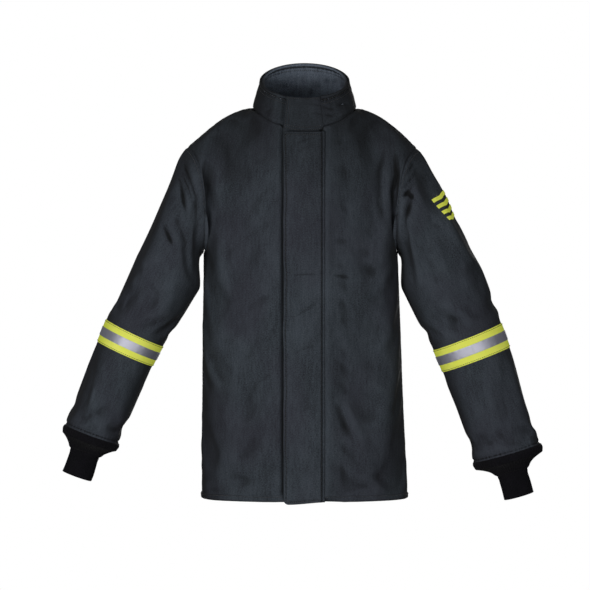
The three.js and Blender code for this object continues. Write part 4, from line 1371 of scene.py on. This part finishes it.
def hanger_loop():
    """A webbing strap sewn inside the back of the neck."""
    turn = np.linspace(0, 2 * math.pi, 120, endpoint=False)
    squareness = 5
    reach = (np.abs(np.cos(turn)) ** squareness + np.abs(np.sin(turn)) ** squareness) ** (-1 / squareness)
    strap = np.array([(-1, -0.7), (-0.8, -1), (0.8, -1), (1, -0.7), (1, 0.7), (0.8, 1), (-0.8, 1), (-1, 0.7)])
    depth = lerp(HANGER.front, HANGER.back, (strap[:, 0] + 1) / 2)
    lift = strap[:, 1] * (HANGER.strap / 2 - 0.1) - HANGER.strap / 2
    x = (reach * np.cos(turn))[:, None] * (HANGER.width / 2 + lift)
    z = HANGER.top - HANGER.height / 2 + (reach * np.sin(turn))[:, None] * (HANGER.height / 2 + lift)
    rings = points(x, depth, z)
    walls, _ = tube_faces(len(rings) + 1, len(strap))
    walls = np.mod(walls, len(rings) * len(strap))
    vertices = rings.reshape(-1, 3)
    if inside_out(vertices, walls):
        walls = walls[:, ::-1]
    uv = uv_grid(turn / (2 * math.pi) * 150, np.linspace(0, 20, len(strap)))
    made = new_object("hanger_strap", vertices, walls, WEBBING, uv.reshape(-1, 2))
    sew(made, "webbing", rides("coat_body"), "hanger_loop")


# ---- Sleeves, cuffs and bands

SLEEVE_FOLDS = {
    # side: [(path as seen from the front, width, height, one-sided)]
    1: [
        ([(228, 692), (208, 664), (190, 634)], 4.2, -5.4, False),
        ([(230, 668), (210, 644), (192, 622)], 4.0, -4.6, False),
        ([(226, 648), (212, 630), (200, 612)], 4.4, -3.8, False),
        ([(196, 618), (212, 624), (226, 614)], 5.0, -4.2, False),
        ([(222, 650), (216, 603), (206, 570), (206, 521), (216, 470), (222, 420)], 8.0, -6.2, False),
        ([(198, 600), (196, 560), (199, 520)], 5.5, 3.2, False),
        ([(228, 700), (262, 626), (280, 575), (302, 505), (322, 452)], 14, 5.0, True),
        ([(262, 560), (266, 500), (284, 430)], 14, 3.4, True),
        ([(300, 400), (322, 350), (336, 322)], 15, 3.0, True),
        ([(352, 262), (368, 200), (388, 130)], 15, 3.2, True),
        ([(400, 240), (414, 190), (424, 140)], 14, 2.0, True),
    ],
    -1: [
        ([(-248, 690), (-236, 655), (-221, 612)], 4.6, -5.2, False),
        ([(-252, 672), (-241, 642), (-226, 600)], 4.2, -4.4, False),
        ([(-262, 668), (-251, 640), (-247, 605), (-238, 568)], 5.0, -4.4, False),
        ([(-264, 580), (-252, 549), (-241, 524), (-238, 480), (-224, 436)], 9.0, -6.0, False),
        ([(-289, 566), (-278, 537), (-265, 510)], 6.0, -4.2, False),
        ([(-222, 640), (-220, 580), (-219, 500), (-217, 455)], 7.0, -5.0, False),
        ([(-236, 700), (-276, 628), (-300, 560), (-326, 480)], 14, 4.6, True),
        ([(-300, 470), (-290, 420), (-300, 372)], 14, 3.2, True),
        ([(-330, 440), (-352, 396), (-372, 372)], 13, 2.8, True),
        ([(-420, 270), (-423, 235), (-415, 190)], 9, -3.2, False),
        ([(-372, 240), (-392, 190), (-412, 160)], 15, 2.4, True),
    ],
}
LOWEST_CREASE = -6.5
FABRIC_RADIUS = 80                 # the tube that the sleeve's weave is laid out on


def tube_angles(radius, spacing):
    around = round(2 * math.pi * radius / spacing)
    return np.arange(around) * 2 * math.pi / around


def sleeve_parts(name, t, faces, cloth, uv, slot_name, parts):
    """A sleeve's cloth in two pieces, cut above the elbow's bend. Each part is (suffix, place, nodes)."""
    cut = int(np.argmin(np.abs(t - UPPER_END)))
    for (suffix, place, nodes), rows in zip(parts, (slice(0, cut + 1), slice(cut, len(t)))):
        outer, inner = (face[:, rows] for face in faces)
        made = slab(f"{name}_{suffix}", outer, inner, cloth, True, uv[:, rows])
        join_round(made, 2 * math.pi * FABRIC_RADIUS / 1000)
        sew(made, slot_name, place, *nodes)


def sleeve(wearers):
    """The sleeve's shell with its folds, and the stitches along its armhole."""
    name, side = wearers.name, wearers.side
    surface = sleeve_surface(wearers)
    angles = tube_angles(84, SPACING)
    t, marks = spaced(lambda v: surface(math.pi / 2, v), 0.0, 1.0, SPACING, FINE_EDGE)
    base = surface(angles[:, None], t[None])
    to_seam, to_hem = marks[None], (marks[-1] - marks)[None]
    band = smoothstep(t, 0.50, 0.545) * (1 - smoothstep(t, 0.655, 0.70))
    held = np.maximum(1 - smoothstep(to_seam, 3, 30), 1 - smoothstep(to_hem, 3, 24))
    held = np.maximum(held, 0.85 * band[None]) * np.ones((len(angles), 1))
    base = base + drape(base, True, held, slack=0.02, cap=6)
    normal = normals_of(base, side, True)
    ahead = smoothstep(-normal[..., 1], 0.05, 0.5)
    behind = smoothstep(normal[..., 1], 0.05, 0.5)
    height = (ripples(base, 150, 111 + side, (1, 1, 1.6)) * 1.3
              + ripples(base, 60, 113 + side, (1, 1, 1.5)) * 0.35)
    height = height * smoothstep(to_seam, 0, 30) * (1 - 0.7 * band[None]) * smoothstep(to_hem, 0, 20)
    height += folded(base, SLEEVE_FOLDS[side]) * ahead * smoothstep(to_seam, 1, 14)
    moved = base + (side * 12, 0, -24)
    wider = [(path, width * 1.3, rise * 0.8, one_sided)
             for path, width, rise, one_sided in SLEEVE_FOLDS[side][4:8]]
    height += folded(moved, wider) * behind
    height += pucker(base[..., 2] + base[..., 1], to_seam, 10, 0.5, 115, 6) - 1.2 * bump(to_seam, 4)
    height += 1.3 * bump(to_seam - 16, 11)
    height += pucker((angles * 75)[:, None], np.abs(to_hem - 10), 9, 0.7, 117 + side, 7)
    height += 0.5 * bump(to_hem - 4, 5)
    height = np.maximum(height, LOWEST_CREASE)
    rounding = edge_round(marks[-1] - marks, 1.3)[None] * np.ones_like(height)
    outer, inner = layered(base, side, height, (0, SHELL_THICKNESS), rounding, True)
    uv = uv_grid(angles * FABRIC_RADIUS, marks)
    sleeve_parts(f"{name}_sleeve", t, (outer, inner), SHELL_CLOTH, uv, "shell_fabric",
                 (("upper", wearers.head_place, (f"{name}_sleeve_head", f"{name}_upper_sleeve_shell")),
                  ("lower", wearers.arm_place, (f"{name}_elbow", f"{name}_forearm_shell"))))
    sheet = Sheet(angles, t, outer, side, True)
    steps = np.linspace(0, 2 * math.pi, 420)
    seam_row = np.interp(5.0, marks, t)
    stitches(f"{name}_armhole_stitches", [along_a(sheet, steps, seam_row)], wearers.head_place)
    return sheet


def join_round(made, girth):
    """The texture runs on round a tube instead of jumping back in its last column."""
    layer = made.data.uv_layers["cloth"]
    uv = np.empty(len(layer.data) * 2, np.float32)
    layer.data.foreach_get("uv", uv)
    quads = uv.reshape(-1, 4, 2)
    jump = quads[..., 0].max(1) - quads[..., 0].min(1) > girth / 2
    low = quads[..., 0] < girth / 2
    quads[..., 0] += np.where(jump[:, None] & low, girth, 0)
    layer.data.foreach_set("uv", quads.ravel())


def sleeve_lining(wearers, shell):
    """The sleeve's quilted lining, which follows the shell."""
    name = wearers.name
    surface = sleeve_surface(wearers)
    angles = tube_angles(78, LINER_SPACING)
    t, marks = spaced(lambda v: surface(math.pi / 2, v), 0.02, 0.985, LINER_SPACING, (0.4, 1.2))
    base, _ = shell.at(angles[:, None], t[None])
    relief = quilting(angles * 52 * 9 / (2 * math.pi), marks) * 0.8
    run = angles * FABRIC_RADIUS
    faces = lining_faces(base, wearers.side, SLEEVE_LINER_LAYER, relief, run, marks, True)
    sleeve_parts(f"{name}_sleeve_lining", t, faces, LINING_CLOTH, uv_grid(run, marks), "lining_fabric",
                 (("upper", wearers.head_place, (f"{name}_upper_sleeve_liner",)),
                  ("lower", wearers.arm_place, (f"{name}_forearm_liner",))))


def wrapped_band(wearers, sheet, name, share, lifts, material, node, slot_name):
    """Tape sewn round the sleeve, lying on its folds."""
    angles = np.linspace(0, 2 * math.pi, 240, endpoint=False)
    t = np.linspace(*share, 12)
    length = (share[1] - share[0]) * sleeve_length(wearers)
    across = np.linspace(0, length, len(t))
    border = np.minimum(across, length - across)[None] * np.ones((len(angles), 1))
    rounding = edge_round(border, 0.5)
    middle, half = sum(lifts) / 2, (lifts[1] - lifts[0]) / 2
    pull = 0.2 * np.sin(angles * 31)[:, None] * bump(border - 2, 2)
    outer, _ = sheet.at(angles[:, None], t[None], middle + half * rounding + pull)
    inner, _ = sheet.at(angles[:, None], t[None], middle - half * rounding + pull)
    made = slab(f"{wearers.name}_{name}", outer, inner, material, True, uv_grid(angles * 76, across))
    join_round(made, 2 * math.pi * 76 / 1000)
    sew(made, slot_name, wearers.arm_place, f"{wearers.name}_{node}")


BAND_STITCH_INSET = 0.0045         # as a share of the sleeve


def sleeve_tapes(wearers, sheet):
    """The lime band with the reflective stripe along its middle."""
    wrapped_band(wearers, sheet, "visibility_band", BAND, (0.1, 1.5), LIME, "sleeve_band",
                 "high_visibility_tape")
    wrapped_band(wearers, sheet, "reflective_stripe", STRIPE, (1.6, 2.4), SILVER, "band_stripe",
                 "reflective_tape")
    steps = np.linspace(0, 2 * math.pi, 420)
    edges = (BAND[0] + BAND_STITCH_INSET, BAND[1] - BAND_STITCH_INSET)
    rows = [along_a(sheet, steps, edge, 1.55) for edge in edges]
    stitches(f"{wearers.name}_band_stitches", rows, wearers.arm_place)


CHEVRONS = 4


def emblem(sheet):
    """Plain chevrons down the outside of the left sleeve."""
    low, high = (math.radians(v) for v in EMBLEM.angles)
    start, stop = EMBLEM.along
    pitch = (stop - start) / (CHEVRONS - 0.35)
    across = np.linspace(-1, 1, 33)
    angle = lerp(low, high, (across + 1) / 2)
    thick = np.linspace(-0.5, 0.5, 6) * pitch * 0.52
    back = pitch * 0.55
    pieces = []
    for k in range(CHEVRONS):
        t_apex = start + pitch * (k + 0.35)
        t = t_apex - back * np.abs(across)[:, None] * 0.6 + thick[None] + back * 0.3
        outer, _ = sheet.at(angle[:, None], t, 1.5)
        inner, _ = sheet.at(angle[:, None], t, 0.3)
        faces, _ = slab_faces(*t.shape)
        pieces.append((np.concatenate([outer.reshape(-1, 3), inner.reshape(-1, 3)]), faces.tolist()))
    vertices, faces = joined(pieces)
    faces = np.array(faces)
    if inside_out(vertices, faces):
        faces = faces[:, ::-1]
    made = new_object("sleeve_chevrons", vertices, faces, LIME, vertices[:, [0, 2]])
    made.data.shade_flat()
    sew(made, "high_visibility_tape", LEFT.head_place, "sleeve_emblem")


RIBS = 62
CUFF_LAP = 0.07                    # how far it starts above the sleeve's end, as a share of its length


def cuff(wearers):
    """A rib-knit cuff: a full lip at the sleeve's hem that narrows quickly to the wrist."""
    angles = np.arange(RIBS * 6) * 2 * math.pi / (RIBS * 6)
    lip_rows, wrist_rows = np.linspace(-CUFF_LAP, 0.2, 22), np.linspace(0.22, 1, 42)
    down = np.unique(np.concatenate([lip_rows, wrist_rows, [0.985, 0.993, 0.998]]))
    a, d = np.meshgrid(angles, down, indexing="ij")
    reach = np.clip((d - 0.12) / 0.42, 0, 1)
    narrowing = 1 - (1 - reach) ** 2.2
    lip = 2.2 * bump(d - 0.05, 0.09)
    lap = 2.2 * (1 - smoothstep(d, -0.02, 0.1))
    flare = CUFF.flare * np.maximum(0, d - 0.5)
    widths = lerp(wearers.half_width[1], CUFF.narrow_width + 3.5, narrowing) + lip + lap + flare
    depths = lerp(wearers.half_depth[1], CUFF.narrow_depth + 1.5, narrowing) + lip + lap + flare
    t = 1 + d * CUFF.length / sleeve_length(wearers)
    base = tube_point(wearers, a, t, widths, depths)
    rib = 0.5 + 0.5 * np.cos(a * RIBS + 0.25 * np.sin(d * 9))
    relief = (0.9 * rib ** 0.7 - 0.5) * smoothstep(d, -CUFF_LAP, 0.0)
    soft = ripples(base, 42, 121 + wearers.side) * 0.8 + ripples(base, 90, 123) * 0.8
    fold = -1.5 * bump(d - 0.4 - 0.02 * np.sin(a * 2 + 1), 0.018) + 0.9 * bump(d - 0.35, 0.03)
    relief = relief + soft * smoothstep(d, 0.05, 0.3) + fold
    to_ends = np.minimum(down + CUFF_LAP, 1 - down) * CUFF.length
    edge = edge_round(to_ends, 1.3)[None] * np.ones_like(relief)
    outer, inner = layered(base, wearers.side, relief, (0, 2.6), edge, True)
    uv = uv_grid(angles * 30, down * CUFF.length)
    made = slab(f"{wearers.name}_knit_cuff", outer, inner, KNIT, True, uv)
    join_round(made, 2 * math.pi * 30 / 1000)
    sew(made, "rib_knit", rides(f"{wearers.name}_forearm"), f"{wearers.name}_cuff")


# ---- The coat

def build_coat():
    fronts = [front_panel(wearers) for wearers in (LEFT, RIGHT)]
    back = back_panel()
    for wearers, sheet in zip((LEFT, RIGHT), fronts):
        front_liner(wearers, sheet)
        hem(f"{wearers.name}_front", sheet, wearers.front_place, f"{wearers.name}_front_hem_band")
    back_liner(back)
    hem("back", back, rides("coat_body"), "back_hem_band")
    hanger_loop()
    collar()
    collar_tab()
    touch_patch("collar_tab_loop", "collar_tab", (5.9, 7.2))
    touch_patch("collar_hook", "right_front", (7.6, 8.9))
    zip_tape(LEFT, ZIP.bottom - 39, ZIP.top + 35)
    zip_tape(RIGHT, ZIP.bottom, ZIP.top)
    for wearers in (LEFT, RIGHT):
        zip_teeth(wearers)
    zip_hardware()
    storm_flap()
    flap_welt()
    fastening_strips()
    for wearers in (LEFT, RIGHT):
        sheet = sleeve(wearers)
        sleeve_lining(wearers, sheet)
        sleeve_tapes(wearers, sheet)
        cuff(wearers)
        if wearers is LEFT:
            emblem(sheet)


build_coat()


# ---- The studio: a pale floor, soft light from the front, and a camera a little above the coat's middle

FLOOR_HEIGHT, FLOOR_REACH = -1.154, 60.0       # metres in the frame; the coat hangs above the floor
# Each lamp: its place from the coat's middle, its size in metres and its power in watts
LAMPS = {"key": ((1.4, -3.0, -0.7), 2.0, 60), "fill": ((-1.9, -2.8, -0.1), 1.6, 46),
         "top": ((-0.2, -0.8, 2.8), 1.6, 3), "back": ((0.4, 3.2, 0.2), 2.0, 44)}
CAMERA_DISTANCE, CAMERA_RISE = 14.0, 2.2        # metres, and degrees above level
CAMERA_AIM = (-19.5, 0, 414)
FRAME_WIDTH, SENSOR_WIDTH = 1.2095, 36          # what the picture is wide at the coat, and the sensor


def studio():
    """Near the coat the floor shows its shading; further out it is as white as the background."""
    mesh = bpy.data.meshes.new("floor")
    square = ((-1, -1), (1, -1), (1, 1), (-1, 1))
    corners = [(x * FLOOR_REACH, y * FLOOR_REACH, FLOOR_HEIGHT) for x, y in square]
    mesh.from_pydata(corners, [], [(0, 1, 2, 3)])
    s = Shader("floor")
    grain = s.noise(s.space, (3, 3, 3), 2, 0.5)
    s.finish(s.mix(grain, colour(205, 205, 205), colour(214, 214, 214)), Roughness=0.9)
    distance = s.node("ShaderNodeVectorMath", {0: s.space}, operation="LENGTH").outputs["Value"]
    seen = s.node("ShaderNodeLightPath").outputs["Is Camera Ray"]
    glow = s.node("ShaderNodeEmission", {"Color": (1, 1, 1, 1), "Strength": seen}).outputs[0]
    blended = s.node("ShaderNodeMixShader", {0: s.stretch(distance, 0.4, 1.7, 0.6, 1.0)})
    s.put(blended.inputs[1], s.surface.outputs[0])
    s.put(blended.inputs[2], glow)
    s.put(s.tree.nodes["Material Output"].inputs["Surface"], blended.outputs[0])
    mesh.materials.append(s.material)
    floor = bpy.data.objects.new("floor", mesh)
    bpy.context.scene.collection.objects.link(floor)

    world = bpy.data.worlds.new("studio")
    bpy.context.scene.world = world
    world.use_nodes = True
    tree = world.node_tree
    background = tree.nodes["Background"]
    path = tree.nodes.new("ShaderNodeLightPath")
    strength = tree.nodes.new("ShaderNodeMapRange")
    tree.links.new(path.outputs["Is Camera Ray"], strength.inputs["Value"])
    strength.inputs["To Min"].default_value = 0.12
    strength.inputs["To Max"].default_value = 1.0
    tree.links.new(strength.outputs[0], background.inputs["Strength"])
    background.inputs["Color"].default_value = (1, 1, 1, 1)

    centre = (cad_low + cad_high) / 2
    for name, (offset, size, power) in LAMPS.items():
        light = bpy.data.lights.new(name, "AREA")
        light.size = size
        light.energy = power
        lamp = bpy.data.objects.new(name, light)
        lamp.location = centre + Vector(offset)
        lamp.rotation_mode = "QUATERNION"
        lamp.rotation_quaternion = Vector(offset).to_track_quat("Z", "Y")
        bpy.context.scene.collection.objects.link(lamp)


def camera():
    rise = math.radians(CAMERA_RISE)
    data = bpy.data.cameras.new("camera")
    data.sensor_width = SENSOR_WIDTH
    data.lens = SENSOR_WIDTH * CAMERA_DISTANCE / FRAME_WIDTH
    made = bpy.data.objects.new("camera", data)
    target = Vector(in_frame(CAMERA_AIM).tolist())
    back = Vector((0, -math.cos(rise), math.sin(rise)))
    made.location = target + back * CAMERA_DISTANCE
    made.rotation_mode = "QUATERNION"
    made.rotation_quaternion = (-back).to_track_quat("-Z", "Y")
    bpy.context.scene.collection.objects.link(made)
    bpy.context.scene.camera = made


studio()
camera()
bpy.context.scene.view_settings.view_transform = "Standard"
